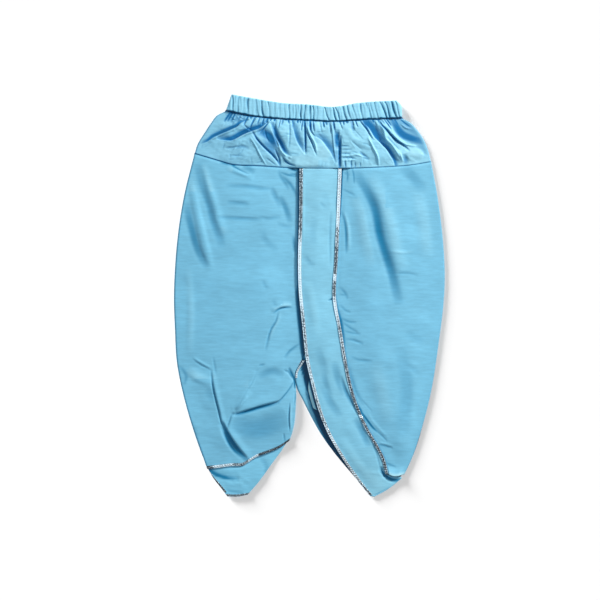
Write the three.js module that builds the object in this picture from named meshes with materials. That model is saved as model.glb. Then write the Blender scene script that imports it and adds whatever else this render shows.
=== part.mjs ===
// A child's ready-made dhoti, laid flat with its front up: gathered elastic waistband, hip yoke,
// two tulip legs and a pleated front drape, edged with silver tape.
// Millimetres. Seen from above, +X is to the right, +Y towards the waist and +Z up from the table.
// Left and right are as seen from above, not the wearer's.
import * as THREE from "three";

// Driving dimensions.
const CLOTH = 1.2; // thickness of one wall of cloth
const TAPE = 0.8; // thickness of the silver tape
const GAP = 0.3; // clearance at a seam and between layers that touch
const TAPE_SHARE = 0.09; // width of the drape's tape, as a share of the drape's width: 5 mm
const HEM_TAPE = 4.4; // width of the tape along the hems
const EDGE_TAPE = 2.2; // width that shows where the tape turns under the left back's side
const CASING = 3.4; // thickness of one side of the waistband: two walls round the elastic
const RIBS = 38; // gathers along one side of the waistband
const RIB_RISE = 1.1; // height of a gather on the waistband
const FRONT_BASE = CLOTH + GAP; // underside of a front panel where it lies on the back
const FRONT_TOP = FRONT_BASE + CLOTH;
const SEAM_RISE = 0.9; // how far the hip seam stands above the flat front
const DRAPE_STEP = 2.2; // how far it stands above it where the drape is sewn in
const LEG_PUFF = 3; // how far the air under a leg's front lifts it
const YOKE_PUFF = 2.6; // how far the gathers lift the yoke between its two seams
const HEM_CURL = 3.4; // how far the right front's hem curls up off the drape's toe
const DRAPE_LIFT = 2.6; // how far the drape's left edge stands up below the crotch
const DRAPE_CROWN = 0.7; // how far the drape's middle stands up
const LEAST_RISE = 0.6; // how near a trough comes to the flat cloth before it levels out

const CENTRE = 14.2; // x of the line under the drape where the fronts of the legs meet
const BACK_CENTRE = 0.6; // x of the seam between the legs' backs
const CENTRE_GAP = 0.8; // clearance along either of those lines

const BLUE = new THREE.MeshStandardMaterial({ color: 0x7dc3e1, roughness: 0.8, metalness: 0 });
const BLUE_BACK = new THREE.MeshStandardMaterial({ color: 0x72b8d8, roughness: 0.85, metalness: 0 });
const SILVER = new THREE.MeshStandardMaterial({ color: 0xb4b6ba, roughness: 0.35, metalness: 0.9 });

// Edge lines. Each row is a point that the line passes through.
const WAIST_TOP = line(
  { x: -108.5, y: 281.6 },
  { x: -77.7, y: 276.2 },
  { x: -35.7, y: 269.4 },
  { x: -2, y: 267.6 },
  { x: 33, y: 264.2 },
  { x: 75, y: 270.4 },
  { x: 122, y: 273 },
);
const WAIST_SEAM = line(
  { x: -116.5, y: 259 },
  { x: -81.3, y: 251.6 },
  { x: -38, y: 247.2 },
  { x: 0, y: 245.2 },
  { x: 34, y: 243.8 },
  { x: 80, y: 246.4 },
  { x: 130, y: 248.4 },
);
const HIP_SEAM = line(
  { x: -160.3, y: 198.5 },
  { x: -122, y: 188.4 },
  { x: -106, y: 184.4 },
  { x: -70, y: 182.2 },
  { x: -20, y: 178.6 },
  { x: 40, y: 177.6 },
  { x: 90, y: 178.8 },
  { x: 140, y: 182 },
  { x: 170.3, y: 187 },
);
const seamAt = (x) => HIP_SEAM(shareAtX(HIP_SEAM, x));
const YOKE_LEFT = line(
  { x: -117, y: 258.4 },
  { x: -129.5, y: 252 },
  { x: -136.5, y: 243 },
  { x: -147.7, y: 226 },
  { x: -156.5, y: 211 },
  { x: -160.3, y: 198.5 },
);
const YOKE_RIGHT = line(
  { x: 130.4, y: 248 },
  { x: 141, y: 242.6 },
  { x: 149.5, y: 234 },
  { x: 160.5, y: 218 },
  { x: 166.5, y: 203 },
  { x: 170.3, y: 187 },
);
const LEFT_SIDE = [
  { x: -160.3, y: 198.5 },
  { x: -174.3, y: 142 },
  { x: -184, y: 80 },
  { x: -188.9, y: 4 },
  { x: -187.5, y: -48 },
  { x: -184.5, y: -96 },
  { x: -170.3, y: -160 },
  { x: -147.7, y: -228 },
];
const LEFT_FRONT_OUTER = line(...LEFT_SIDE, { x: -142.3, y: -243 });
const LEFT_BACK_OUTER = line(
  ...LEFT_SIDE,
  { x: -135, y: -253.6 },
  { x: -121, y: -272 },
  { x: -114, y: -281.2 },
);
const LEFT_FRONT_INNER = line(
  seamAt(CENTRE),
  { x: CENTRE, y: 110 },
  { x: CENTRE, y: 40 },
  { x: 10, y: -30 },
  { x: -4, y: -78 },
  { x: -20, y: -110 },
  { x: -18, y: -130 },
  { x: -18.8, y: -160 },
  { x: -22.4, y: -188 },
  { x: -27.4, y: -203.4 },
);
const LEFT_FRONT_HEM = line(
  { x: -142.3, y: -243 },
  { x: -119, y: -241.6 },
  { x: -93, y: -239.6 },
  { x: -82, y: -233 },
  { x: -64, y: -224 },
  { x: -44, y: -215.6 },
  { x: -27.4, y: -203.4 },
);
const LEFT_BACK_INNER = line(
  seamAt(BACK_CENTRE),
  { x: BACK_CENTRE, y: 60 },
  { x: 0, y: -46 },
  { x: -12.6, y: -89 },
  { x: -23.6, y: -110 },
  { x: -21, y: -130 },
  { x: -18.8, y: -160 },
  { x: -22.4, y: -188 },
  { x: -34.3, y: -211 },
  { x: -52.5, y: -236.4 },
  { x: -70.7, y: -261.4 },
  { x: -86, y: -279 },
);
const LEFT_BACK_TIP = line({ x: -114, y: -281.2 }, { x: -101, y: -281.6 }, { x: -86, y: -279 });
const RIGHT_SIDE = [
  { x: 170.3, y: 187 },
  { x: 179.3, y: 138 },
  { x: 186.6, y: 80 },
  { x: 189.4, y: 28 },
  { x: 187.6, y: -12 },
  { x: 181.5, y: -62 },
  { x: 172, y: -126 },
  { x: 161.8, y: -170 },
  { x: 145, y: -224 },
];
const RIGHT_FRONT_OUTER = line(...RIGHT_SIDE, { x: 133, y: -250.4 });
const RIGHT_BACK_OUTER = line(
  ...RIGHT_SIDE,
  { x: 128, y: -253 },
  { x: 110, y: -270.6 },
  { x: 90.5, y: -281 },
);
const RIGHT_FRONT_INNER = line(
  seamAt(CENTRE),
  { x: CENTRE, y: 110 },
  { x: CENTRE, y: 40 },
  { x: 15, y: -50 },
  { x: 24, y: -92 },
  { x: 42, y: -130 },
  { x: 62, y: -165 },
  { x: 82, y: -203 },
  { x: 103, y: -246 },
);
const RIGHT_FRONT_HEM = line({ x: 103, y: -246 }, { x: 118, y: -253 }, { x: 133, y: -250.4 });
const RIGHT_BACK_INNER = line(
  seamAt(BACK_CENTRE),
  { x: BACK_CENTRE, y: 60 },
  { x: 1.4, y: -46 },
  { x: -9.4, y: -87 },
  { x: -21, y: -110 },
  { x: -17.6, y: -130 },
  { x: -10.5, y: -144 },
  { x: 2, y: -169 },
  { x: 16, y: -194 },
  { x: 34.3, y: -219.6 },
  { x: 55.3, y: -245 },
  { x: 86, y: -280 },
);
const DRAPE_LEFT = line(
  seamAt(-13.6),
  { x: -14.4, y: 104 },
  { x: -16.2, y: 56 },
  { x: -15, y: 10 },
  { x: -9.4, y: -48 },
  { x: -6.2, y: -89 },
  { x: -1, y: -122 },
  { x: 8.2, y: -155 },
  { x: 21.7, y: -186 },
  { x: 36, y: -211 },
  { x: 68.6, y: -260 },
  { x: 85.6, y: -281 },
);
const DRAPE_RIGHT = line(
  seamAt(45.5),
  { x: 43.2, y: 118 },
  { x: 40.4, y: 56 },
  { x: 37.6, y: -3 },
  { x: 44.3, y: -48 },
  { x: 49.5, y: -89 },
  { x: 56.5, y: -124 },
  { x: 66, y: -155 },
  { x: 80.2, y: -186 },
  { x: 94, y: -211 },
  { x: 109, y: -251 },
);
const DRAPE_TOE_RIGHT = line(
  { x: 109, y: -251 },
  { x: 118, y: -254.8 },
  { x: 129.6, y: -254.8 },
  { x: 123, y: -261.4 },
  { x: 109, y: -272 },
  { x: 91, y: -281.6 },
);

// Folds of the cloth. A fold runs from x1, y1 to x2, y2, bowed sideways by bend at its middle, to
// the left of its run where bend is positive. It is width wide, and rise high, or deep where rise
// is negative. A lip is a pleat's edge: high on the left of its run and dropping off to the right.
const YOKE_FOLDS = [
  { x1: -56, y1: 246, x2: -150, y2: 214, bend: -5, width: 9, rise: 3.2, lip: false },
  { x1: -62, y1: 236, x2: -118, y2: 219, bend: -4, width: 6, rise: -3, lip: false },
  { x1: -88, y1: 232, x2: -40, y2: 188, bend: 3, width: 5, rise: -2.4, lip: false },
  { x1: -70, y1: 240, x2: -62, y2: 196, bend: 0, width: 7, rise: 2, lip: false },
  { x1: -58, y1: 240, x2: -34, y2: 198, bend: 2, width: 5, rise: -3.2, lip: false },
  { x1: -40, y1: 246, x2: -22, y2: 190, bend: 0, width: 7, rise: 1.8, lip: false },
  { x1: -6, y1: 246, x2: -6, y2: 198, bend: 0, width: 4, rise: -2.4, lip: false },
  { x1: 2, y1: 246, x2: 6, y2: 196, bend: 0, width: 4, rise: 1.5, lip: false },
  { x1: 10, y1: 244, x2: 20, y2: 196, bend: 0, width: 4.5, rise: -2.4, lip: false },
  { x1: 28, y1: 244, x2: 36, y2: 186, bend: 0, width: 7, rise: 1.8, lip: false },
  { x1: 40, y1: 240, x2: 43, y2: 182, bend: 0, width: 4, rise: -2.2, lip: false },
  { x1: 56, y1: 246, x2: 66, y2: 196, bend: 0, width: 6, rise: 1.6, lip: false },
  { x1: 66, y1: 246, x2: 96, y2: 184, bend: 0, width: 5, rise: 2.6, lip: false },
  { x1: 76, y1: 246, x2: 120, y2: 184, bend: 3, width: 6, rise: -4, lip: false },
  { x1: 92, y1: 246, x2: 132, y2: 190, bend: 0, width: 6, rise: 2.6, lip: false },
  { x1: 106, y1: 240, x2: 140, y2: 202, bend: 0, width: 4, rise: -2, lip: false },
  { x1: 118, y1: 246, x2: 160, y2: 212, bend: -3, width: 7, rise: -3, lip: false },
  { x1: 118, y1: 232, x2: 150, y2: 196, bend: 0, width: 8, rise: 2.2, lip: false },
];
const LEFT_LEG_FOLDS = [
  { x1: -157, y1: 186, x2: -130, y2: 86, bend: -4, width: 9, rise: -2.4, lip: false },
  { x1: -168, y1: 150, x2: -146, y2: 40, bend: 0, width: 8, rise: 1.4, lip: false },
  { x1: -174, y1: 112, x2: -152, y2: 50, bend: 0, width: 7, rise: -1.6, lip: false },
  { x1: -126, y1: 184, x2: -86, y2: 170, bend: 2, width: 6, rise: 1.6, lip: false },
  { x1: -52, y1: 160, x2: -30, y2: 104, bend: 3, width: 8, rise: -1.6, lip: false },
  { x1: -52, y1: -22, x2: -28, y2: -16, bend: 2, width: 7, rise: 2, lip: true },
  { x1: -86, y1: -232, x2: -139, y2: -100, bend: -13, width: 24, rise: -3.2, lip: true },
  { x1: -20, y1: -116, x2: -110, y2: -166, bend: -14, width: 22, rise: -3, lip: true },
  { x1: -102, y1: -156, x2: -76, y2: -108, bend: 0, width: 7, rise: 1.4, lip: false },
  { x1: -164, y1: -84, x2: -136, y2: -104, bend: 3, width: 7, rise: 1.8, lip: false },
  { x1: -180, y1: -104, x2: -168, y2: -136, bend: 0, width: 6, rise: -1.6, lip: false },
  { x1: -29, y1: -150, x2: -31, y2: -196, bend: 0, width: 5, rise: 1.5, lip: false },
];
const RIGHT_LEG_FOLDS = [
  { x1: 62, y1: 170, x2: 126, y2: -8, bend: 6, width: 11, rise: -3, lip: false },
  { x1: 84, y1: 176, x2: 136, y2: 20, bend: 6, width: 12, rise: 1.6, lip: false },
  { x1: 50, y1: 130, x2: 56, y2: 48, bend: 0, width: 6, rise: -1.5, lip: false },
  { x1: 62, y1: 140, x2: 92, y2: -20, bend: 0, width: 12, rise: 1.6, lip: false },
  { x1: 122, y1: -110, x2: 130, y2: -210, bend: 0, width: 14, rise: -1.5, lip: false },
  { x1: 70, y1: -158, x2: 106, y2: -204, bend: 2, width: 6, rise: 1.8, lip: true },
  { x1: 104, y1: -222, x2: 122, y2: -236, bend: 0, width: 5, rise: 1.4, lip: false },
];

// A smooth line through points, as a function from 0 to 1 along its length.
function line(...points) {
  const curve = new THREE.CatmullRomCurve3(
    points.map((p) => new THREE.Vector3(p.x, p.y, 0)),
    false,
    "centripetal",
  );
  return (t) => curve.getPointAt(THREE.MathUtils.clamp(t, 0, 1));
}

// Two lines joined end to end, the first up to share of the whole.
function joined(first, second, share) {
  return (t) => (t < share ? first(t / share) : second((t - share) / (1 - share)));
}

// The part of a line between two shares of its length.
function part(whole, from, to) {
  return (t) => whole(from + (to - from) * t);
}

// The share of its length at which a line reaches a value that rises all along it.
function shareWhere(whole, valueOf, value) {
  const closeEnough = 1e-6;
  let [low, high] = [0, 1];
  while (high - low > closeEnough) {
    const middle = (low + high) / 2;
    if (valueOf(whole(middle)) < value) low = middle;
    else high = middle;
  }
  return low;
}

function shareAtX(whole, x) {
  return shareWhere(whole, (point) => point.x, x);
}

function pointAtY(whole, y) {
  return whole(shareWhere(whole, (point) => -point.y, -y));
}

// The patch stretched between four edge lines: u runs left to right and v top to bottom.
function patch({ top, bottom, left, right }) {
  const corners = [top(0), top(1), bottom(0), bottom(1)];
  return (u, v) => {
    const across = top(u).multiplyScalar(1 - v).addScaledVector(bottom(u), v);
    const down = left(v).multiplyScalar(1 - u).addScaledVector(right(v), u);
    const weights = [(1 - u) * (1 - v), u * (1 - v), (1 - u) * v, u * v];
    corners.forEach((corner, i) => across.addScaledVector(corner, -weights[i]));
    return across.add(down);
  };
}

// A soft step: 0 at from and 1 at to, whichever of them is the greater.
function smooth(from, to, x) {
  return THREE.MathUtils.smoothstep((x - from) / (to - from), 0, 1);
}

// The height that one fold adds at a point: a ridge or trough of bell-shaped section, tapered at
// both ends. The far side of a lip is FOLD.lip as wide as its near side.
const FOLD = { taper: 0.7, lip: 0.3 };

function foldHeight(fold, x, y) {
  const run = new THREE.Vector2(fold.x2 - fold.x1, fold.y2 - fold.y1);
  const length = run.length();
  const along = ((x - fold.x1) * run.x + (y - fold.y1) * run.y) / length ** 2;
  if (along <= 0 || along >= 1) return 0;
  const bow = fold.bend * 4 * along * (1 - along);
  const off = ((y - fold.y1) * run.x - (x - fold.x1) * run.y) / length - bow;
  const taper = Math.sin(Math.PI * along) ** FOLD.taper;
  const width = fold.width * (fold.lip && off < 0 ? FOLD.lip : 1);
  return fold.rise * taper * Math.exp(-((off / width) ** 2));
}

const relief = (folds, x, y) => folds.reduce((sum, fold) => sum + foldHeight(fold, x, y), 0);

// Heights near and below nothing are eased off, so that a trough never sinks into what lies
// under it.
function eased(height) {
  return height > LEAST_RISE ? height : LEAST_RISE * Math.exp(height / LEAST_RISE - 1);
}

const xy = (point) => ({ x: point.x, y: point.y });

const shares = (count) => Array.from({ length: count + 1 }, (_, i) => i / count);

const between = (from, to, count) => shares(count).map((share) => from + share * (to - from));

// A closed wall over a grid of columns us and rows vs. place(u, v) gives its x, y, top and bottom.
function wall(name, material, us, vs, place) {
  const skins = [0, 1].map((skin) =>
    vs.flatMap((v) =>
      us.flatMap((u) => {
        const at = place(u, v);
        return [at.x, at.y, skin ? at.bottom : at.top];
      }),
    ),
  );
  const columns = us.length;
  const rows = vs.length;
  const point = (skin, row, column) => (skin * rows + row) * columns + column;
  const heightAt = (row, column) => skins[0][3 * point(0, row, column) + 2];
  const faces = [];
  const quad = (a, b, c, d) => faces.push(a, b, c, a, c, d);
  // Each cell is split along the diagonal that is nearer level, which follows a slanting fold.
  for (let r = 0; r < rows - 1; r++)
    for (let c = 0; c < columns - 1; c++) {
      const falling = Math.abs(heightAt(r, c) - heightAt(r + 1, c + 1));
      const rising = Math.abs(heightAt(r + 1, c) - heightAt(r, c + 1));
      const corners = [[r, c], [r + 1, c], [r + 1, c + 1], [r, c + 1]];
      if (rising < falling) corners.push(corners.shift());
      const top = corners.map(([row, column]) => point(0, row, column));
      const bottom = corners.map(([row, column]) => point(1, row, column));
      quad(...top);
      quad(bottom[0], bottom[3], bottom[2], bottom[1]);
    }
  for (let r = 0; r < rows - 1; r++) {
    const last = columns - 1;
    quad(point(0, r, 0), point(1, r, 0), point(1, r + 1, 0), point(0, r + 1, 0));
    quad(point(0, r, last), point(0, r + 1, last), point(1, r + 1, last), point(1, r, last));
  }
  for (let c = 0; c < columns - 1; c++) {
    const last = rows - 1;
    quad(point(0, 0, c), point(0, 0, c + 1), point(1, 0, c + 1), point(1, 0, c));
    quad(point(0, last, c), point(1, last, c), point(1, last, c + 1), point(0, last, c + 1));
  }
  const geometry = new THREE.BufferGeometry();
  geometry.setAttribute("position", new THREE.Float32BufferAttribute(skins.flat(), 3));
  geometry.setIndex(faces);
  geometry.computeVertexNormals();
  const mesh = new THREE.Mesh(geometry, material);
  mesh.name = name;
  return mesh;
}

// The fronts lie flat under the drape and beside it, and rise over this stretch further out.
const BESIDE_DRAPE = { from: 4, to: 17 };

// 1 away from the drape, and 0 under it and beside it.
function clearOfDrape(x, y) {
  const outside = Math.max(pointAtY(DRAPE_LEFT, y).x - x, x - pointAtY(DRAPE_RIGHT, y).x);
  return smooth(BESIDE_DRAPE.from, BESIDE_DRAPE.to, outside);
}

// How far the hip seam stands above the flat front: nothing at its ends.
const SEAM_FADE = 25;

function seamRise(x) {
  const fromLeft = x - HIP_SEAM(0).x;
  const fromRight = HIP_SEAM(1).x - x;
  return SEAM_RISE * smooth(0, SEAM_FADE, fromLeft) * smooth(0, SEAM_FADE, fromRight);
}

// The gathers of the waistband are uneven: each has its own width and height.
const RIB_STEPS = [
  { share: 0, height: 0 },
  { share: 0.28, height: 0.85 },
  { share: 0.62, height: 1 },
];
const ribWidth = (i) => 1 + 0.28 * Math.sin(2.4 * i) + 0.2 * Math.sin(5.3 * i);
const ribHeight = (i) => 0.75 + 0.25 * Math.sin(1.7 * i);

function ribColumns() {
  const columns = [];
  let start = 0;
  for (let i = 0; i < RIBS; i++) {
    for (const step of RIB_STEPS)
      columns.push({ at: start + step.share * ribWidth(i), height: step.height * ribHeight(i) });
    start += ribWidth(i);
  }
  columns.push({ at: start, height: 0 });
  return columns.map((column) => ({ u: column.at / start, height: column.height }));
}

// The waistband: one side of the casing for each of front and back, with its gathers on top.
const bandPatch = patch({
  top: WAIST_TOP,
  bottom: WAIST_SEAM,
  left: line(WAIST_TOP(0), WAIST_SEAM(0)),
  right: line(WAIST_TOP(1), { x: 128.5, y: 266 }, WAIST_SEAM(1)),
});
// Rows of the waistband, and how far its two edges are rounded off.
const BAND_ROWS = [
  { v: 0, crown: -1.1 },
  { v: 0.16, crown: 0 },
  { v: 0.84, crown: 0 },
  { v: 1, crown: -0.7 },
];

function waistbandFront() {
  const rise = new Map(ribColumns().map((column) => [column.u, column.height]));
  const crown = new Map(BAND_ROWS.map((row) => [row.v, row.crown]));
  const place = (u, v) => {
    const { x, y } = bandPatch(u, v);
    const bottom = CASING + GAP;
    const top = bottom + CASING + crown.get(v) + RIB_RISE * (rise.get(u) - 0.5);
    return { x, y, top, bottom };
  };
  return wall("waistband_front", BLUE, [...rise.keys()], [...crown.keys()], place);
}

function waistbandBack() {
  const place = (u, v) => ({ ...xy(bandPatch(u, v)), top: CASING, bottom: 0 });
  return wall("waistband_back", BLUE_BACK, shares(12), [0, 1], place);
}

// Columns of the legs' panels, which the yoke's columns match along the hip seam.
const LEFT_COLUMNS = 17;
const RIGHT_COLUMNS = 16;
const BACK_COLUMNS = 9;
const seamSplit = shareAtX(HIP_SEAM, CENTRE);
const backSplit = shareAtX(HIP_SEAM, BACK_CENTRE);

// The yoke: its top edge is gathered into the waistband and its lower edge is the hip seam. It
// rises from its sides over YOKE.side of its width, and comes down from the waistband's level over
// YOKE.fall of its height. At its sides it keeps YOKE.sideLevel of that level.
const YOKE = { side: 0.07, fall: 0.75, sideLevel: 0.35, overCasing: 0.5, roundness: 0.8 };
const YOKE_ROWS = [0, 0.08, 0.18, 0.29, 0.41, 0.53, 0.65, 0.77, 0.89, 1];
const yokePatch = patch({ top: WAIST_SEAM, bottom: HIP_SEAM, left: YOKE_LEFT, right: YOKE_RIGHT });

// A point of the yoke, kept a gap away from the waistband and half a gap from the hip seam.
function yokePoint(u, v) {
  const point = yokePatch(u, v);
  point.y -= GAP * (1 - v);
  point.y += (GAP / 2) * v;
  return point;
}

function yokeTop(u, v) {
  const { x, y } = yokePatch(u, v);
  const side = smooth(0, YOKE.side, u) * smooth(1, 1 - YOKE.side, u);
  const casingLevel = CASING + GAP - FRONT_BASE + YOKE.overCasing;
  const waist = casingLevel * smooth(YOKE.fall, 0, v) * THREE.MathUtils.lerp(YOKE.sideLevel, 1, side);
  const body = YOKE_PUFF * Math.sin(Math.PI * v) ** YOKE.roundness * side;
  const gathers = relief(YOKE_FOLDS, x, y) * side * smooth(1, 0.9, v);
  const seam = seamRise(x) + DRAPE_STEP * (1 - clearOfDrape(x, y));
  return FRONT_TOP + seam * v ** 4 + waist + eased(body + gathers) - eased(0);
}

// Columns that match those of the two panels sewn to the hip seam on either side of split.
function seamColumns(split, leftCount, rightCount) {
  return [
    ...shares(leftCount).map((u) => u * split),
    ...shares(rightCount).slice(1).map((u) => split + u * (1 - split)),
  ];
}

function yokeFront() {
  const place = (u, v) => {
    const top = yokeTop(u, v);
    return { ...xy(yokePoint(u, v)), top, bottom: top - CLOTH };
  };
  const columns = seamColumns(seamSplit, 2 * LEFT_COLUMNS, 2 * RIGHT_COLUMNS);
  return wall("yoke_front", BLUE, columns, YOKE_ROWS, place);
}

function yokeBack() {
  const place = (u, v) => ({ ...xy(yokePoint(u, v)), top: CLOTH, bottom: 0 });
  const columns = seamColumns(backSplit, BACK_COLUMNS, BACK_COLUMNS);
  return wall("yoke_back", BLUE_BACK, columns, shares(4), place);
}

// The legs' fronts hang from the hip seam and meet under the drape.
const leftFrontPatch = patch({
  top: part(HIP_SEAM, 0, seamSplit),
  bottom: LEFT_FRONT_HEM,
  left: LEFT_FRONT_OUTER,
  right: LEFT_FRONT_INNER,
});
const rightFrontPatch = patch({
  top: part(HIP_SEAM, seamSplit, 1),
  bottom: RIGHT_FRONT_HEM,
  left: RIGHT_FRONT_INNER,
  right: RIGHT_FRONT_OUTER,
});

// A point of a leg, half a gap below the hip seam and on its own side of the centre.
function legPoint(legPatch, u, v, centreSide) {
  const point = legPatch(u, v);
  point.y -= (GAP / 2) * (1 - v);
  point.x += (CENTRE_GAP / 2) * centreSide;
  return point;
}

// A leg's front rises from its outer side over LEG.side of its width, and from its two ends over
// LEG.end of its length.
const LEG = { side: 0.16, end: 0.1, rows: 34 };

// The top of a leg's front. outer is the distance from its outer side, as a share of its width.
function legTop(folds, x, y, outer, v) {
  const clear = clearOfDrape(x, y);
  const side = smooth(0, LEG.side, outer) * clear;
  const puff = LEG_PUFF * side * smooth(0, LEG.end, v) * smooth(1, 1 - LEG.end, v);
  const seam = seamRise(x) * clear * smooth(LEG.end, 0, v);
  return FRONT_TOP + seam + eased(puff + relief(folds, x, y) * side) * clear;
}

// Rows whose last is a tape's width tall on a panel of this length.
function rowsAboveTape(count, length) {
  const tapeStart = 1 - HEM_TAPE / length;
  return [...shares(count).map((v) => v * tapeStart), 1];
}

const lastTwo = (rows) => rows.slice(-2);
const leftRows = rowsAboveTape(LEG.rows, 440);
const leftColumns = shares(LEFT_COLUMNS);

function leftFrontAt(u, v) {
  const at = legPoint(leftFrontPatch, u, v, -1);
  return { ...xy(at), top: legTop(LEFT_LEG_FOLDS, at.x, at.y, u, v) };
}

function leftLegFront() {
  const place = (u, v) => {
    const at = leftFrontAt(u, v);
    return { ...at, bottom: at.top - CLOTH };
  };
  return wall("left_leg_front", BLUE, leftColumns, leftRows, place);
}

function leftHemTape() {
  const place = (u, v) => {
    const at = leftFrontAt(u, v);
    return { x: at.x, y: at.y, top: at.top + GAP + TAPE, bottom: at.top + GAP };
  };
  return wall("left_hem_tape", SILVER, leftColumns, lastTwo(leftRows), place);
}

// The right front's hem curls up off the drape's toe, which passes under it.
const CURL_START = 0.93;

function rightLegFront() {
  const place = (u, v) => {
    const at = legPoint(rightFrontPatch, u, v, 1);
    const curl = HEM_CURL * smooth(CURL_START, 1, v) * clearOfDrape(at.x, at.y);
    const top = legTop(RIGHT_LEG_FOLDS, at.x, at.y, 1 - u, v) + curl;
    return { ...xy(at), top, bottom: top - CLOTH };
  };
  return wall("right_leg_front", BLUE, shares(RIGHT_COLUMNS), shares(LEG.rows), place);
}

// The legs' backs lie flat on the table, and show below the fronts' hems.
const leftBackPatch = patch({
  top: part(HIP_SEAM, 0, backSplit),
  bottom: LEFT_BACK_TIP,
  left: LEFT_BACK_OUTER,
  right: LEFT_BACK_INNER,
});
const rightBackPatch = patch({
  top: part(HIP_SEAM, backSplit, 1),
  bottom: line(RIGHT_BACK_INNER(1), RIGHT_BACK_OUTER(1)),
  left: RIGHT_BACK_INNER,
  right: RIGHT_BACK_OUTER,
});
const backRows = rowsAboveTape(26, 500);
const backColumns = shares(BACK_COLUMNS);

function legBack(name, backPatch, centreSide) {
  const place = (u, v) => ({ ...xy(legPoint(backPatch, u, v, centreSide)), top: CLOTH, bottom: 0 });
  return wall(name, BLUE_BACK, backColumns, backRows, place);
}

function leftTipTape() {
  const place = (u, v) => {
    const at = legPoint(leftBackPatch, u, v, -1);
    return { ...xy(at), top: CLOTH + GAP + TAPE, bottom: CLOTH + GAP };
  };
  return wall("left_tip_tape", SILVER, backColumns, lastTwo(backRows), place);
}

// Above the tip the same tape turns under the left back's outer edge, where a narrow strip shows.
function leftEdgeTape() {
  const [start, end] = [0.908, 0.985]; // shares of the left back's length
  const place = (u, v) => {
    const at = legPoint(leftBackPatch, 0, v, -1);
    return { x: at.x + u * EDGE_TAPE, y: at.y, top: CLOTH + GAP + TAPE, bottom: CLOTH + GAP };
  };
  return wall("left_edge_tape", SILVER, [0, 1], between(start, end, 4), place);
}

// The tape on the right back's inner edge, which shows between the legs at the crotch.
const CROTCH_TAPE = { from: 0.545, to: 0.6, inset: 1.6, width: 3.4 };

function crotchTape() {
  const { from, to, inset, width } = CROTCH_TAPE;
  const place = (u, v) => {
    const at = legPoint(rightBackPatch, 0, v, 1);
    return { x: at.x + inset + u * width, y: at.y, top: CLOTH + GAP + TAPE, bottom: CLOTH + GAP };
  };
  return wall("crotch_tape", SILVER, [0, 1], between(from, to, 6), place);
}

// The front drape. Its right edge runs out into the toe, which closes the right leg's tip.
const TOE = { start: 0.885, settled: 0.935 }; // shares of the drape's length
const LIFT = { from: 0.6, full: 0.74, falling: 0.85, to: 0.97, reach: 0.5 };
// The inner fold of the drape's pleat lies under its left edge, up to PLEAT.inner of its width. It
// shows beside the tape over the stretch of its own length that PLEAT_SHOWS gives.
const PLEAT = { inset: 4, inner: 0.4, show: 5.2, length: 0.76 };
const PLEAT_SHOWS = { from: 0.72, full: 0.88, falling: 0.95, to: 1.06 };
const drapePatch = patch({
  top: part(HIP_SEAM, shareAtX(HIP_SEAM, DRAPE_LEFT(0).x), shareAtX(HIP_SEAM, DRAPE_RIGHT(0).x)),
  bottom: line(DRAPE_LEFT(1), DRAPE_TOE_RIGHT(1)),
  left: DRAPE_LEFT,
  right: joined(DRAPE_RIGHT, DRAPE_TOE_RIGHT, TOE.start),
});
const drapeColumns = [0, TAPE_SHARE, 0.3, 0.5, 0.7, 1 - TAPE_SHARE, 1];
const drapeRows = [...between(0, TOE.start, 36), ...between(TOE.start, 1, 5).slice(1)];

// A point of the drape, half a gap below the hip seam.
function drapePoint(u, v) {
  const point = drapePatch(u, v);
  point.y -= (GAP / 2) * (1 - v);
  return xy(point);
}

// The drape lies on the inner pleat at its left, and its left edge lifts below the crotch.
function drapeTop(u, v) {
  const onPleat = FRONT_TOP + 2 * (GAP + CLOTH);
  const onFront = FRONT_TOP + GAP + CLOTH;
  const level = THREE.MathUtils.lerp(onPleat, onFront, smooth(PLEAT.inner + 0.02, 0.95, u));
  const along = smooth(LIFT.from, LIFT.full, v) * smooth(LIFT.to, LIFT.falling, v);
  const lift = DRAPE_LIFT * along * smooth(LIFT.reach, 0, u);
  const crown = DRAPE_CROWN * Math.sin(Math.PI * u) * smooth(0, 0.05, v);
  const settled = smooth(TOE.start, TOE.settled, v);
  return THREE.MathUtils.lerp(level + lift + crown, CLOTH + GAP + CLOTH, settled);
}

function drape() {
  const place = (u, v) => {
    const top = drapeTop(u, v);
    return { ...drapePoint(u, v), top, bottom: top - CLOTH };
  };
  return wall("front_drape", BLUE, drapeColumns, drapeRows, place);
}

function drapeTape(name, columns, rows) {
  const place = (u, v) => {
    const bottom = drapeTop(u, v) + GAP;
    return { ...drapePoint(u, v), top: bottom + TAPE, bottom };
  };
  return wall(name, SILVER, columns, rows, place);
}

function innerPleat() {
  const top = FRONT_TOP + GAP + CLOTH;
  const place = (u, v) => {
    const edge = drapePoint(0, v * PLEAT.length);
    const inner = drapePoint(PLEAT.inner, v * PLEAT.length);
    const growing = smooth(PLEAT_SHOWS.from, PLEAT_SHOWS.full, v);
    const shown = growing * smooth(PLEAT_SHOWS.to, PLEAT_SHOWS.falling, v);
    const outer = edge.x + PLEAT.inset - (PLEAT.inset + PLEAT.show) * shown;
    return { x: THREE.MathUtils.lerp(outer, inner.x, u), y: edge.y - GAP, top, bottom: top - CLOTH };
  };
  return wall("drape_inner_pleat", BLUE, [0, 1], shares(24), place);
}

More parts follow.
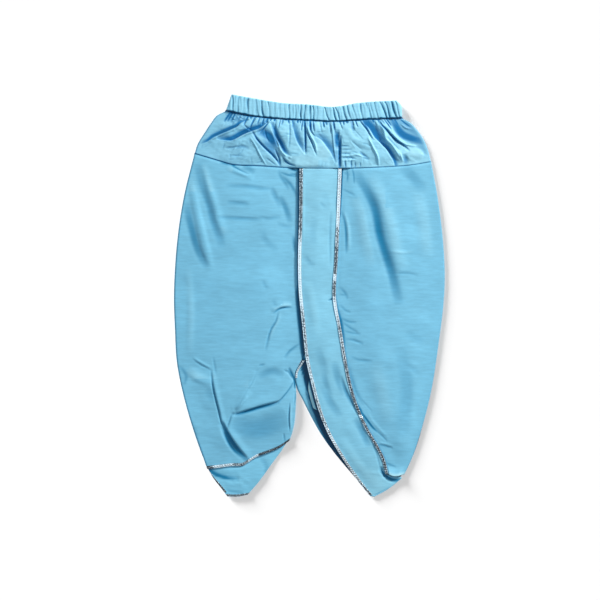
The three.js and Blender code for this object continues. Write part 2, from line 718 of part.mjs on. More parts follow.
const dhoti = new THREE.Group();
dhoti.name = "dhoti";
dhoti.add(
  waistbandFront(),
  waistbandBack(),
  yokeFront(),
  yokeBack(),
  leftLegFront(),
  rightLegFront(),
  legBack("left_leg_back", leftBackPatch, -1),
  legBack("right_leg_back", rightBackPatch, 1),
  drape(),
  innerPleat(),
  drapeTape("drape_tape_left", [0, TAPE_SHARE], drapeRows),
  drapeTape("drape_tape_right", [1 - TAPE_SHARE, 1], between(0, TOE.start, 36).slice(0, -1)),
  leftHemTape(),
  leftTipTape(),
  leftEdgeTape(),
  crotchTape(),
);

export default dhoti;
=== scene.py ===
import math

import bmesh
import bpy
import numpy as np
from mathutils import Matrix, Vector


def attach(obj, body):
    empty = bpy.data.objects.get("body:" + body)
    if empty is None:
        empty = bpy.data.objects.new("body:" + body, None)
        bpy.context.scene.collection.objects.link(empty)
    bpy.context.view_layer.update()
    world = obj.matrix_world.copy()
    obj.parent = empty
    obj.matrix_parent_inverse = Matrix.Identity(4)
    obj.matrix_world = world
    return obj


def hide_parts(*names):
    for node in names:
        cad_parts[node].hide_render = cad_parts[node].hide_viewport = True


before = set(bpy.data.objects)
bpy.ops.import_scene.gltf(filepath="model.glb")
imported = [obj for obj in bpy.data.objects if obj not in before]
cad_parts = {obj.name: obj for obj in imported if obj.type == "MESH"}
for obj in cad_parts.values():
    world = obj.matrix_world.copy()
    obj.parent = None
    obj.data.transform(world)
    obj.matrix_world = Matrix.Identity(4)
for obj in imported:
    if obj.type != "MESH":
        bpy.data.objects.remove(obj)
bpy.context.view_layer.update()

# %% [markdown]
# A child's ready-made dhoti, laid flat with its front up.
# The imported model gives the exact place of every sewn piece: the gathered waistband, the hip yoke,
# the two tulip legs, the front drape with its hidden pleat, and the silver tape along the edges.
# This lesson dresses each of them as a thin shell of cloth that lies where its solid lies, with the
# folds and creases that the solid is too coarse to carry.
# Everything is measured in millimetres here and turned into metres only when a mesh is placed,
# because a fold of 1.5 is easier to picture than one of 0.0015.

MM = 0.001
CLOTH = 1.2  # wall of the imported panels
GAP = 0.3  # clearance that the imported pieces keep
CASING = 3.4  # thickness of one side of the waistband
FRONT_TOP = 2 * CLOTH + GAP  # top of a front panel where it lies on the back
CENTRE = 14.2  # x of the line under the drape where the leg fronts meet
BACK_CENTRE = 0.6  # x of the seam between the leg backs
print("nodes in the frame:", len(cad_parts))

# %% [markdown]
# The dhoti's edges are smooth lines, so each one is a spline through a few measured points.
# Blender's own curve objects could hold them, but a panel needs to ask for a point at any share of
# an edge's length, and for thousands of points at once. A small class with numpy does that fast.
# It follows the centripetal rule, which never overshoots between two close points.

# %% A smooth line through points
SAMPLES = 40  # samples between two of a line's points


class Line:
    def __init__(self, *points):
        p = np.array(points, float)
        # A mirrored point past each end lets the curve start and stop at the outer points.
        p = np.vstack([2 * p[0] - p[1], p, 2 * p[-1] - p[-2]])
        gaps = np.sqrt(np.linalg.norm(np.diff(p, axis=0), axis=1))
        t = np.linspace(0, 1, SAMPLES + 1)[:, None]
        runs = []
        for i in range(1, len(p) - 2):
            a, b, c, d = p[i - 1 : i + 3]
            ga, gb, gc = gaps[i - 1 : i + 2]
            leave = ((b - a) / ga - (c - a) / (ga + gb) + (c - b) / gb) * gb
            arrive = ((c - b) / gb - (d - b) / (gb + gc) + (d - c) / gc) * gb
            bend = 3 * (c - b) - 2 * leave - arrive
            run = b + t * leave + t**2 * bend + t**3 * (2 * (b - c) + leave + arrive)
            runs.append(run[:-1])
        self.xy = np.vstack([*runs, p[-2:-1]])
        steps = np.linalg.norm(np.diff(self.xy, axis=0), axis=1)
        along = np.concatenate([[0], np.cumsum(steps)])
        self.length = along[-1]
        self.shares = along / along[-1]

    def __call__(self, share):
        return np.stack([np.interp(share, self.shares, self.xy[:, k]) for k in (0, 1)], -1)

    def share_at_x(self, x):
        return float(np.interp(x, self.xy[:, 0], self.shares))

    def x_at_y(self, y):  # for a line that runs down the garment
        return np.interp(-y, -self.xy[:, 1], self.xy[:, 0])

    def y_at_x(self, x):  # for a line that runs to the right
        return np.interp(x, self.xy[:, 0], self.xy[:, 1])


print("a quarter of the way along a test line:", Line((0, 0), (10, 4), (20, 0))(0.25).round(2))

# %% [markdown]
# These are the edges of the real garment, in millimetres, read as a maker would read a laid-out
# pattern: x to the right, y towards the waist. Panels that are sewn together share a line, so that
# no crack opens between them.

# %% The garment's edge lines
WAIST_TOP = Line(
    (-108.5, 281.6), (-77.7, 276.2), (-35.7, 269.4), (-2, 267.6), (33, 264.2), (75, 270.4), (122, 273)
)
WAIST_SEAM = Line(
    (-116.5, 259), (-81.3, 251.6), (-38, 247.2), (0, 245.2), (34, 243.8), (80, 246.4), (130, 248.4)
)
HIP_SEAM = Line(
    (-160.3, 198.5), (-122, 187), (-106, 182.8), (-70, 181.2), (-20, 178), (40, 177.6),
    (90, 178.8), (140, 182), (170.3, 187),
)


def seam_at(x):
    return (x, float(HIP_SEAM.y_at_x(x)))


YOKE_LEFT = Line(
    (-117, 258.4), (-129.5, 252), (-136.5, 243), (-147.7, 226), (-156.5, 211), (-160.3, 198.5)
)
YOKE_RIGHT = Line(
    (130.4, 248), (141, 242.6), (149.5, 234), (160.5, 218), (166.5, 203), (170.3, 187)
)
LEFT_SIDE = [
    (-160.3, 198.5), (-174.3, 142), (-184, 80), (-188.9, 4), (-187.5, -48), (-184.5, -96),
    (-170.3, -160), (-147.7, -228),
]
LEFT_FRONT_OUTER = Line(*LEFT_SIDE, (-142.3, -243))
LEFT_BACK_OUTER = Line(*LEFT_SIDE, (-135, -253.6), (-121, -272), (-114, -281.2))
LEFT_FRONT_INNER = Line(
    seam_at(CENTRE), (CENTRE, 110), (CENTRE, 40), (10, -30), (-4, -78), (-20, -110),
    (-18, -130), (-18.8, -160), (-22.4, -188), (-27.4, -203.4),
)
LEFT_FRONT_HEM = Line(
    (-142.3, -243), (-125, -241), (-108, -238.8), (-93, -238.2), (-86, -234.2), (-73, -226),
    (-55, -219.2), (-42, -213.4), (-27.4, -203.4),
)
LEFT_BACK_INNER = Line(
    seam_at(BACK_CENTRE), (BACK_CENTRE, 60), (0, -46), (-12.6, -89), (-23.6, -110), (-21, -130),
    (-18.8, -160), (-22.4, -188), (-34.3, -211), (-52.5, -236.4), (-70.7, -261.4), (-86, -279),
)
LEFT_BACK_TIP = Line((-114, -281.2), (-101, -281.6), (-86, -279))
RIGHT_SIDE = [
    (170.3, 187), (179.3, 138), (186.6, 80), (189.4, 28), (187.6, -12), (181.5, -62),
    (172, -126), (161.8, -170), (145, -224),
]
RIGHT_FRONT_OUTER = Line(*RIGHT_SIDE, (133, -250.4))
RIGHT_BACK_OUTER = Line(*RIGHT_SIDE, (128, -253), (110, -270.6), (90.5, -281))
RIGHT_FRONT_INNER = Line(
    seam_at(CENTRE), (CENTRE, 110), (CENTRE, 40), (15, -50), (24, -92), (42, -130), (62, -165),
    (82, -203), (103, -246),
)
RIGHT_FRONT_HEM = Line((103, -246), (118, -253), (133, -250.4))
RIGHT_BACK_INNER = Line(
    seam_at(BACK_CENTRE), (BACK_CENTRE, 60), (1.4, -46), (-9.4, -87), (-21, -110), (-17.6, -130),
    (-10.5, -144), (2, -169), (16, -194), (34.3, -219.6), (55.3, -245), (86, -280),
)
DRAPE_LEFT = Line(
    seam_at(-13.6), (-14.4, 104), (-15.8, 56), (-15, 10), (-9.3, -48), (-4.8, -89), (2.6, -122),
    (11.2, -155), (22.8, -186), (36, -211), (68.4, -260), (85.6, -281),
)
DRAPE_RIGHT = Line(
    seam_at(45.5), (43.2, 118), (40.4, 56), (37.6, -3), (45.2, -48), (52, -89), (59, -124),
    (68.6, -155), (82.4, -186), (96.8, -211), (106.4, -231), (111, -251),
)
DRAPE_TOE_RIGHT = Line(
    (111, -251), (119, -254.8), (129.6, -254.8), (123, -261.4), (109, -272), (91, -281.6)
)
print("hip seam:", round(HIP_SEAM.length), "mm, drape:", round(DRAPE_LEFT.length), "mm")

# %% [markdown]
# A panel is the surface stretched between its four edge lines, which geometry books call a Coons
# patch. One could also trace the outline and fill it, but then the cloth's grain would not follow
# the edges. With the patch, u runs across a panel and v runs down it, as warp and weft do.

# %% Stretching a patch between four edges
def patch(top, bottom, left, right):
    def at(u, v):
        across, down = u[:, None], v[:, None]
        level = top(u) * (1 - down) + bottom(u) * down
        upright = left(v) * (1 - across) + right(v) * across
        upper = top(0.0) * (1 - across) + top(1.0) * across
        lower = bottom(0.0) * (1 - across) + bottom(1.0) * across
        xy = level + upright - upper * (1 - down) - lower * down
        return xy[:, 0], xy[:, 1]

    return at


def part_of(line, start, end):
    return lambda share: line(start + (end - start) * np.asarray(share))


def joined(first, second, share):
    def at(s):
        s = np.asarray(s)
        here = (s < share)[..., None]
        return np.where(here, first(s / share), second((s - share) / (1 - share)))

    return at


def lerp(a, b, share):
    return a + (b - a) * share


def smooth(start, end, x):
    t = np.clip((x - start) / (end - start), 0, 1)
    return t * t * (3 - 2 * t)


def rounded(distance, radius):
    return np.sqrt(1 - (1 - np.clip(distance / radius, 0, 1)) ** 2)


def sides(panel, u, v):
    return panel(0 * u, v)[0], panel(0 * u + 1, v)[0]


def from_sides(panel, u, v, x):
    left, right = sides(panel, u, v)
    return np.minimum(x - left, right - x)


def width_of(panel, u, v):
    left, right = sides(panel, u, v)
    return right - left


print("halfway up a soft step:", smooth(0, 1, 0.5))

# %% [markdown]
# A fold in laid cloth is a line with a section: a ridge, a trough, or a lip where one layer lies on
# the next. Sculpting by hand would give the same shapes, but a table can be read and corrected.
# Each row holds the fold's rise, its width to the left and to the right of its run, and the points
# it runs through. A negative rise is a trough. A narrow side beside a wide one makes a lip.
# The depth of the troughs is kept as well: it gives painted shade, deeper in colour inside a fold,
# and a painted highlight, paler on a ridge.

# %% Folds
FOLD_STEPS = 22  # straight steps in which the distance to a fold is measured
FOLD_REACH = 2.6  # widths past which a fold no longer counts
FOLD_TAPER = 0.6  # below 1, a fold keeps its height until near its ends
FOLD_SQUARE = 2.4  # above 2, a fold has a flatter middle and steeper walls
DEEP = 1.8  # depth in mm at which a trough gets its full painted shade
PALE_RIDGE = 4.6  # rise in mm at which a ridge gets its full painted highlight
MARK_BLEND = 0.2  # a painted shade mark deeper than this hides the painted highlight of a ridge
# The wider a side of a trough, the more sharply its painted shade ends.
SIDE_WIDTHS, TONE_SQUARES = (1.5, 6.0), (2.0, 3.4)
# The wider a trough, the more light reaches its floor, and the less painted shade it gets.
TROUGH_WIDTHS, MOST_TONES = (2.5, 7, 15, 30), (1.6, 1.25, 1.1, 0.5)


def nearest_on(run, shares, at):
    best = np.full(len(at), np.inf)
    side, share = np.zeros(len(at)), np.zeros(len(at))
    for a, b, start in zip(run[:-1], run[1:], shares):
        step = b - a
        t = np.clip((at - a) @ step / (step @ step), 0, 1)
        off = at - a - t[:, None] * step
        distance = np.hypot(off[:, 0], off[:, 1])
        closer = distance < best
        best = np.where(closer, distance, best)
        side = np.where(closer, step[0] * off[:, 1] - step[1] * off[:, 0], side)
        share = np.where(closer, start + t / FOLD_STEPS, share)
    return best, side, share


def fold_heights(x, y, folds):
    height, painted_light_and_wear = np.zeros_like(x), np.zeros_like(x)
    shares = np.linspace(0, 1, FOLD_STEPS + 1)
    for rise, left, right, *points in folds:
        run = Line(*points)(shares)
        reach = FOLD_REACH * max(left, right)
        low, high = run.min(0) - reach, run.max(0) + reach
        near = (x > low[0]) & (x < high[0]) & (y > low[1]) & (y < high[1])
        if not near.any():
            continue
        distance, side, share = nearest_on(run, shares, np.stack([x[near], y[near]], 1))
        width = np.where(side > 0, left, right)
        taper = np.sin(np.pi * np.clip(share, 0, 1)) ** FOLD_TAPER
        shape = taper * np.exp(-((distance / width) ** FOLD_SQUARE))
        height[near] += rise * shape
        # Painted shade in a trough, and a painted highlight on a ridge.
        if rise < 0:
            square = np.interp(width, SIDE_WIDTHS, TONE_SQUARES)
            tone = taper * np.exp(-((distance / width) ** square))
            most = np.interp(left + right, TROUGH_WIDTHS, MOST_TONES)
            painted_light_and_wear[near] = np.maximum(painted_light_and_wear[near], min(-rise / DEEP, most) * tone)
        else:
            painted_light_and_wear[near] -= min(rise / PALE_RIDGE, 1) * shape
    return height, painted_light_and_wear


# Lays a painted shade mark, such as a groove's shadow, over the painted light of the folds.
def marked(painted_light_and_wear, mark):
    return lerp(painted_light_and_wear, np.maximum(painted_light_and_wear, mark), smooth(0, MARK_BLEND, mark))


def waves(x, y, count, shortest, longest, height, seed, stretch=1.0):
    rng = np.random.default_rng(seed)
    total = np.zeros_like(x)
    for _ in range(count):
        length = rng.uniform(shortest, longest)
        turn, phase = rng.uniform(0, math.pi), rng.uniform(0, math.tau)
        along = x * math.cos(turn) / stretch + y * math.sin(turn)
        total += np.sin(math.tau * along / length + phase)
    return height * total / math.sqrt(count)


test_height, _ = fold_heights(
    np.array([0.0, 3.0]), np.array([0.0, 0.0]), [(-2, 3, 3, (0, 10), (0, -10))]
)
print("a trough at its line and 3 mm beside it:", test_height.round(2))

# %% [markdown]
# Every panel starts as a plain grid from a bmesh operator. Its points are then read as u and v,
# and a placing function says where each goes and how deep in a fold it lies. A Solidify modifier
# gives the sheet its thickness, downwards, so that the placed surface stays the visible one.
# Pieces are collected so that the lights can later be told to shine on the garment alone.

# %% From a grid to a piece of cloth
SHELL, TAPE_SHELL = 0.6, 0.4  # thickness of the cloth's and the tape's shell
PALEST, DARKEST = -1, 2  # limits of the painted highlight on the highest ridge and of the painted shadow of a closed crease


def new_collection(name):
    made = bpy.data.collections.new(name)
    bpy.context.scene.collection.children.link(made)
    return made


garment = new_collection("garment")


def grid_piece(name, columns, rows):
    mesh = bpy.data.meshes.new(name)
    grid = bmesh.new()
    grid.loops.layers.uv.new("cloth")
    bmesh.ops.create_grid(grid, x_segments=columns, y_segments=rows, size=0.5, calc_uvs=True)
    grid.to_mesh(mesh)
    grid.free()
    piece = bpy.data.objects.new(name, mesh)
    garment.objects.link(piece)
    return piece


def lay(piece, place):
    mesh = piece.data
    count = len(mesh.vertices)
    flat = np.empty(3 * count)
    mesh.vertices.foreach_get("co", flat)
    x, y, z, painted_light_and_wear = place(flat[0::3] + 0.5, 0.5 - flat[1::3])
    mesh.vertices.foreach_set("co", (np.stack([x, y, z], 1) * MM).ravel())
    depth = mesh.attributes.new("painted_light_and_wear", "FLOAT", "POINT")
    depth.data.foreach_set("value", np.clip(painted_light_and_wear, PALEST, DARKEST).astype(np.float32))
    mesh.polygons.foreach_set("use_smooth", np.ones(len(mesh.polygons), bool))
    mesh.update()


def thicken(piece, thickness):
    wall = piece.modifiers.new("thickness", "SOLIDIFY")
    wall.thickness = thickness * MM
    wall.offset = -1
    wall.use_quality_normals = True


def sew(name, node, columns, rows, place, material, thickness=SHELL):
    piece = grid_piece(name, columns, rows)
    lay(piece, place)
    thicken(piece, thickness)
    piece.data.materials.append(material)
    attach(piece, "root")
    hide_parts(node)
    print(name, len(piece.data.polygons), "faces")
    return piece


# %% [markdown]
# The cloth is a light cotton silk, plain woven, with slubs: short thick stretches of thread that
# show as fine level streaks. A picture of the cloth would be the quick way, but a weave made from
# wave and noise textures stays sharp at any distance and has no seams.
# The group below puts out only a height and a streak mask, and each material uses them its own way.

# %% The slubbed weave, a shader node group
THREAD = 0.00045  # metres from one thread to the next
WAVE_STEP = math.pi / 10  # from one band of the wave texture to the next, at a scale of 1
SLUBS = (60, 340, 60)  # scale of the slubs along x, y and z: long level streaks
NO_SLUB, FULL_SLUB = 0.32, 0.72  # values of the noise where a slub starts and is full
CROSSING_HEIGHT = 0.35  # height of a crossing of threads, beside 1 for a slub


def fill(tree, made, inputs=None, feeds=None):
    for entry, value in (inputs or {}).items():
        made.inputs[entry].default_value = value
    for entry, (source, out) in (feeds or {}).items():
        tree.links.new(source.outputs[out], made.inputs[entry])
    return made


def node(tree, kind, label="", inputs=None, feeds=None, **values):
    made = tree.nodes.new(kind)
    made.label = label
    for key, value in values.items():
        setattr(made, key, value)
    return fill(tree, made, inputs, feeds)


def slubbed_weave():
    group = bpy.data.node_groups.new("slubbed weave", "ShaderNodeTree")
    for name, way, kind in (
        ("Vector", "INPUT", "NodeSocketVector"),
        ("Height", "OUTPUT", "NodeSocketFloat"),
        ("Streak", "OUTPUT", "NodeSocketFloat"),
    ):
        group.interface.new_socket(name=name, in_out=way, socket_type=kind)
    here = {"Vector": (node(group, "NodeGroupInput"), "Vector")}
    warp, weft = (
        node(
            group, "ShaderNodeTexWave", "threads along " + direction,
            {"Scale": WAVE_STEP / THREAD, "Distortion": 0.0}, here, bands_direction=direction,
        )
        for direction in "XY"
    )
    crossing = node(
        group, "ShaderNodeMath", "over and under",
        feeds={0: (warp, "Fac"), 1: (weft, "Fac")}, operation="MULTIPLY",
    )
    stretch = node(group, "ShaderNodeMapping", "slubs lie level", {"Scale": SLUBS}, here)
    slub = node(
        group, "ShaderNodeTexNoise", "slubs", {"Scale": 1.0, "Detail": 2.0, "Roughness": 0.6},
        {"Vector": (stretch, "Vector")},
    )
    streak = node(
        group, "ShaderNodeMapRange", "sharper slubs",
        {"From Min": NO_SLUB, "From Max": FULL_SLUB}, {"Value": (slub, "Fac")},
    )
    both = node(
        group, "ShaderNodeMath", "height", {1: CROSSING_HEIGHT},
        {0: (crossing, "Value"), 2: (streak, "Result")}, operation="MULTIPLY_ADD",
    )
    node(
        group, "NodeGroupOutput",
        feeds={"Height": (both, "Value"), "Streak": (streak, "Result")},
    )
    return group


weave = slubbed_weave()
print("group outputs:", [s.name for s in weave.interface.items_tree])

# %% [markdown]
# The cloth's material: a sky blue that drifts a little from place to place. Painted shade makes it
# darker and richer in the folds, standing for light that bounces from blue wall to blue wall, painted
# shadow turns closed creases navy, and a painted highlight makes ridges paler. All of it comes from
# the panel's own attribute. The sheen and the roughness are the same all over, so they are set on
# the shader.

# %% Blue cotton silk
SKY = (0.188, 0.518, 0.74, 1)
# Painted light: yoke, waistband, drape and backs get lighter copies of the one cloth's blue.
YOKE_SKY_PAINTED_LIGHT = (0.262, 0.605, 0.81, 1)
BAND_SKY_PAINTED_LIGHT = (0.285, 0.64, 0.85, 1)
DRAPE_SKY_PAINTED_LIGHT = (0.235, 0.575, 0.775, 1)
BACK_SKY_PAINTED_LIGHT = (0.20, 0.56, 0.79, 1)
# Painted shade for the folds, a painted highlight for the ridges, painted shadow for closed creases.
CREASE_SHADE_BLUE = (0.002, 0.185, 0.375, 1)
YOKE_CREASE_SHADE = (0.0, 0.166, 0.43, 1)
RIDGE_HIGHLIGHT_BLUE = (0.45, 0.78, 0.90, 1)
CREASE_SHADOW_NAVY = (0.0, 0.064, 0.15, 1)


def new_material(name):
    material = bpy.data.materials.new(name)
    material.use_nodes = True
    return material, material.node_tree, material.node_tree.nodes["Principled BSDF"]


def blue_cloth(name, sky, deep=CREASE_SHADE_BLUE):
    material, tree, shader = new_material(name)
    here = {"Vector": (node(tree, "ShaderNodeTexCoord"), "Object")}
    woven = node(tree, "ShaderNodeGroup", "weave", feeds=here, node_tree=weave)
    drift = node(tree, "ShaderNodeTexNoise", "uneven dye", {"Scale": 16.0, "Detail": 3.0}, here)
    depth = node(tree, "ShaderNodeAttribute", "painted shade depth", attribute_name="painted_light_and_wear")
    # Painted shade deepens the folds, a painted highlight pales the ridges, painted shadow makes creases
    # navy.
    dyed = node(
        tree, "ShaderNodeMix", "painted shade in the folds", {"A": sky, "B": deep},
        {"Factor": (depth, "Fac")}, data_type="RGBA",
    )
    raised = node(
        tree, "ShaderNodeMath", "height of the ridge", {1: -1.0}, {0: (depth, "Fac")},
        operation="MULTIPLY",
    )
    paler = node(
        tree, "ShaderNodeMix", "painted highlight on the ridges", {"B": RIDGE_HIGHLIGHT_BLUE},
        {"Factor": (raised, "Value"), "A": (dyed, "Result")}, data_type="RGBA",
    )
    closed = node(
        tree, "ShaderNodeMath", "past a full fold", {1: 1.0}, {0: (depth, "Fac")},
        operation="SUBTRACT",
    )
    shaded = node(
        tree, "ShaderNodeMix", "painted shadow in closed creases", {"B": CREASE_SHADOW_NAVY},
        {"Factor": (closed, "Value"), "A": (paler, "Result")}, data_type="RGBA",
    )
    shade = node(
        tree, "ShaderNodeMapRange", "streaks of shade", {"To Min": 0.93, "To Max": 1.06},
        {"Value": (woven, "Streak")},
    )
    patchy = node(
        tree, "ShaderNodeMapRange", "patches of shade",
        {"From Min": 0.3, "From Max": 0.7, "To Min": 0.95, "To Max": 1.05},
        {"Value": (drift, "Fac")},
    )
    level = node(
        tree, "ShaderNodeMath", "shade", feeds={0: (shade, "Result"), 1: (patchy, "Result")},
        operation="MULTIPLY",
    )
    tinted = node(
        tree, "ShaderNodeVectorMath", "shaded cloth",
        feeds={"Vector": (shaded, "Result"), "Scale": (level, "Value")}, operation="SCALE",
    )
    bump = node(
        tree, "ShaderNodeBump", "threads", {"Strength": 0.35, "Distance": 0.00012},
        {"Height": (woven, "Height")},
    )
    fill(
        tree, shader,
        {"Roughness": 0.55, "Sheen Weight": 0.18, "Sheen Roughness": 0.4, "Specular IOR Level": 0.3},
        {"Base Color": (tinted, "Vector"), "Normal": (bump, "Normal")},
    )
    return material


front_cloth = blue_cloth("blue_cotton_silk", SKY)
# These copies of the cloth are painted lighter, standing for the light that falls on each part.
yoke_cloth = blue_cloth("blue_cotton_silk_yoke", YOKE_SKY_PAINTED_LIGHT, YOKE_CREASE_SHADE)
drape_cloth = blue_cloth("blue_cotton_silk_drape", DRAPE_SKY_PAINTED_LIGHT)
band_cloth = blue_cloth("blue_cotton_silk_band", BAND_SKY_PAINTED_LIGHT)
back_cloth = blue_cloth("blue_cotton_silk_back", BACK_SKY_PAINTED_LIGHT)
print("cloth materials:", front_cloth.name, drape_cloth.name, back_cloth.name)

# %% [markdown]
# The trim is a narrow tape of silver foil thread round a dark core. Where the foil is worn the core
# shows through, and the same dark colour is painted where the foil reflects little light, as a painted
# reflection. The foil is a metal with a low roughness. The beads are real shape on the tape's mesh,
# so here only the wear, the painted reflection and the fine threads are left to do.

# %% Silver tape
FOIL = (0.93, 0.93, 0.95, 1)
CORE = (0.075, 0.085, 0.10, 1)
WEAR_SHARE = 0.36  # how much full wear and painted dark reflection add to the noise of the glints
ALL_FOIL, ALL_CORE = 0.64, 0.77  # sums of the two where only foil shows and only core


def silver_tape():
    material, tree, shader = new_material("silver_foil_tape")
    here = {"Vector": (node(tree, "ShaderNodeTexCoord"), "Object")}
    glint = node(
        tree, "ShaderNodeTexNoise", "glints", {"Scale": 800.0, "Detail": 2.0, "Roughness": 0.6}, here
    )
    thread = node(tree, "ShaderNodeTexNoise", "foil threads", {"Scale": 1500.0, "Detail": 1.0}, here)
    depth = node(
        tree, "ShaderNodeAttribute", "wear, painted reflection and gaps between beads", attribute_name="painted_light_and_wear"
    )
    mixed = node(
        tree, "ShaderNodeMath", "glints against wear", {1: WEAR_SHARE},
        {0: (depth, "Fac"), 2: (glint, "Fac")}, operation="MULTIPLY_ADD",
    )
    core = node(
        tree, "ShaderNodeMapRange", "where the core shows",
        {"From Min": ALL_FOIL, "From Max": ALL_CORE}, {"Value": (mixed, "Value")},
    )
    colour = node(
        tree, "ShaderNodeMix", "foil over core", {"A": FOIL, "B": CORE},
        {"Factor": (core, "Result")}, data_type="RGBA",
    )
    bump = node(
        tree, "ShaderNodeBump", "foil threads", {"Strength": 0.5, "Distance": 0.0001},
        {"Height": (thread, "Fac")},
    )
    fill(
        tree, shader, {"Metallic": 0.9, "Roughness": 0.27},
        {"Base Color": (colour, "Result"), "Normal": (bump, "Normal")},
    )
    return material


silver = silver_tape()
print("tape material:", silver.name)

# %% [markdown]
# The waistband is a casing: the cloth is folded over inch-wide elastic, so it has an outer face, a
# rolled top edge and an inner face. Here the grid runs up the inner face, over the roll and down the
# outer face to the seam. Relaxed elastic pushes the cloth into gathers. Their creases are narrow,
# uneven and slanted, with flat stretches between, so each is listed at its top and bottom,
# and small ones are scattered in between.

# %% Creases of the waistband
# Each row: x at the top edge, x at the seam, depth, width on the left, width on the right.
BAND_CREASES = [
    (-107.5, -106.5, 1.2, 1.2, 1.0), (-98.3, -100.4, 1.0, 2.4, 1.4), (-91.0, -93.5, 0.5, 1.6, 2.6),
    (-84.8, -87.0, 1.3, 2.6, 1.2), (-75.4, -71.0, 0.8, 3.0, 1.2), (-68.0, -63.6, 1.7, 2.4, 0.9),
    (-58.1, -55.3, 1.0, 1.2, 1.6), (-50.0, -48.6, 0.4, 1.4, 2.2), (-41.0, -42.4, 0.4, 2.2, 1.4),
    (-28.4, -28.4, 1.4, 1.0, 1.4), (-20.0, -19.0, 0.5, 1.4, 2.0), (-12.3, -11.2, 1.9, 1.6, 0.8),
    (-6.2, -7.3, 1.9, 1.0, 1.6), (0.6, 1.7, 1.9, 1.6, 0.9), (5.0, 6.2, 1.5, 1.2, 1.0),
    (20.0, 28.0, 1.5, 1.6, 0.9), (32.0, 38.0, 1.9, 1.4, 0.8), (36.0, 43.0, 1.3, 1.2, 0.9),
    (46.0, 52.2, 1.5, 2.2, 0.9), (51.5, 58.5, 1.0, 1.6, 1.0), (59.5, 66.0, 0.7, 2.0, 1.0),
    (70.5, 74.5, 1.2, 1.6, 1.0), (79.0, 87.0, 0.9, 3.0, 1.1), (90.0, 96.0, 0.6, 2.0, 1.0),
    (98.5, 109.0, 2.0, 2.0, 0.9), (105.5, 113.6, 2.0, 1.8, 0.9), (114.0, 122.5, 2.3, 2.8, 0.9),
    (119.5, 127.0, 1.0, 1.6, 1.0),
]
WAIST_FROM, WAIST_TO = -112, 126  # x between which small creases and gathers are scattered
rng = np.random.default_rng(38)
for at in np.arange(WAIST_FROM, WAIST_TO, 5.2):
    top = at + rng.uniform(-1.8, 1.8)
    bottom = top + (rng.uniform(-1.2, 1.6) + 4.5 * smooth(0, 90, at))
    depth = rng.uniform(0.15, 0.5)
    BAND_CREASES.append((top, bottom, depth, rng.uniform(1, 2), rng.uniform(0.8, 1.5)))
print("creases on the waistband:", len(BAND_CREASES))

# %% The waistband
ROLL = CASING / 2  # radius of the rolled top edge
INNER_SHARE, ROLL_SHARE = 0.24, 0.36  # shares of the section where the inner face and the roll end
INNER_START = 0.97  # how far down the casing the inner face starts
BAND_HIGH = 25.4
BAND_LOW = CASING + GAP  # underside of the front casing
END_THICK = 1.3  # thickness of the casing at its ends
END_ROUND = 4.5  # how far the casing rounds off towards its ends
END_RELIEF = 0.35  # share of the creases' depth that is left at the ends
SEAM_ROUND, SEAM_DROP = 2.2, 2.4  # how far and how deep it rounds off towards the seam
SCALLOP, SCALLOP_END = 0.6, 0.16  # share of a crease's depth that notches the top edge, and its reach
SEAM_GROOVE = 1.9  # how far the painted shadow of the groove at the seam reaches
GROOVE_FULL, GROOVE_TONE = 0.6, 1.7  # where the painted shadow of the groove is at its darkest, and how dark it is painted
RIGHT_SHADE = 0.12  # painted shade that makes the right end a little darker
SWAY = 0.5  # mm that a crease sways on its way down
CREASE_DEPTH, CREASE_WIDTH = 1.3, 0.85  # real size of a crease beside a row's numbers
CREASE_SQUARE = 1.6  # above 1, a crease has a rounder floor

band_patch = patch(
    WAIST_TOP,
    WAIST_SEAM,
    Line(WAIST_TOP(0.0), WAIST_SEAM(0.0)),
    Line(WAIST_TOP(1.0), (128.5, 266), WAIST_SEAM(1.0)),
)


def band_relief(x, down, creases, seed):
    relief, painted_light_and_wear = np.zeros_like(x), np.zeros_like(x)
    for top, bottom, depth, left, right in creases:
        off = x - lerp(top, bottom, down) - SWAY * np.sin(6 * down + top)
        width = np.where(off < 0, CREASE_WIDTH * left, CREASE_WIDTH * right)
        shape = np.exp(-np.abs(off / width) ** CREASE_SQUARE)
        strength = 0.75 + 0.25 * np.sin(5 * down + 1.7 * top)
        relief -= CREASE_DEPTH * depth * shape * strength
        # Painted shade in each crease.
        painted_light_and_wear = np.maximum(painted_light_and_wear, min(depth / 1.5, 1.1) * shape * strength)
        # A painted highlight, with no ridge in the shape, lies on the right of each crease.
        ridge = np.exp(-(((off - 1.6 * right) / right) ** 2))
        painted_light_and_wear -= 0.5 * strength * ridge * min(depth, 1)
    return relief + waves(x, 8 * down, 7, 9, 26, 0.16, seed), painted_light_and_wear


def casing_section(s):
    inner = s < INNER_SHARE
    rolling = (s >= INNER_SHARE) & (s < ROLL_SHARE)
    turn = np.pi * ((s - INNER_SHARE) / (ROLL_SHARE - INNER_SHARE) - 0.5)
    roll_high = ROLL / BAND_HIGH
    on_inner = lerp(INNER_START, roll_high, s / INNER_SHARE)
    on_roll = roll_high * (1 - np.cos(turn))
    on_outer = lerp(roll_high, 1, (s - ROLL_SHARE) / (1 - ROLL_SHARE))
    down = np.where(inner, on_inner, np.where(rolling, on_roll, on_outer))
    level = np.where(inner, -1, np.where(rolling, np.sin(turn), 1))
    return down, (level + 1) / 2


def casing_thickness(u, down, x):
    full = rounded(from_sides(band_patch, u, down, x), END_ROUND)
    return full, END_THICK + (CASING - END_THICK) * full


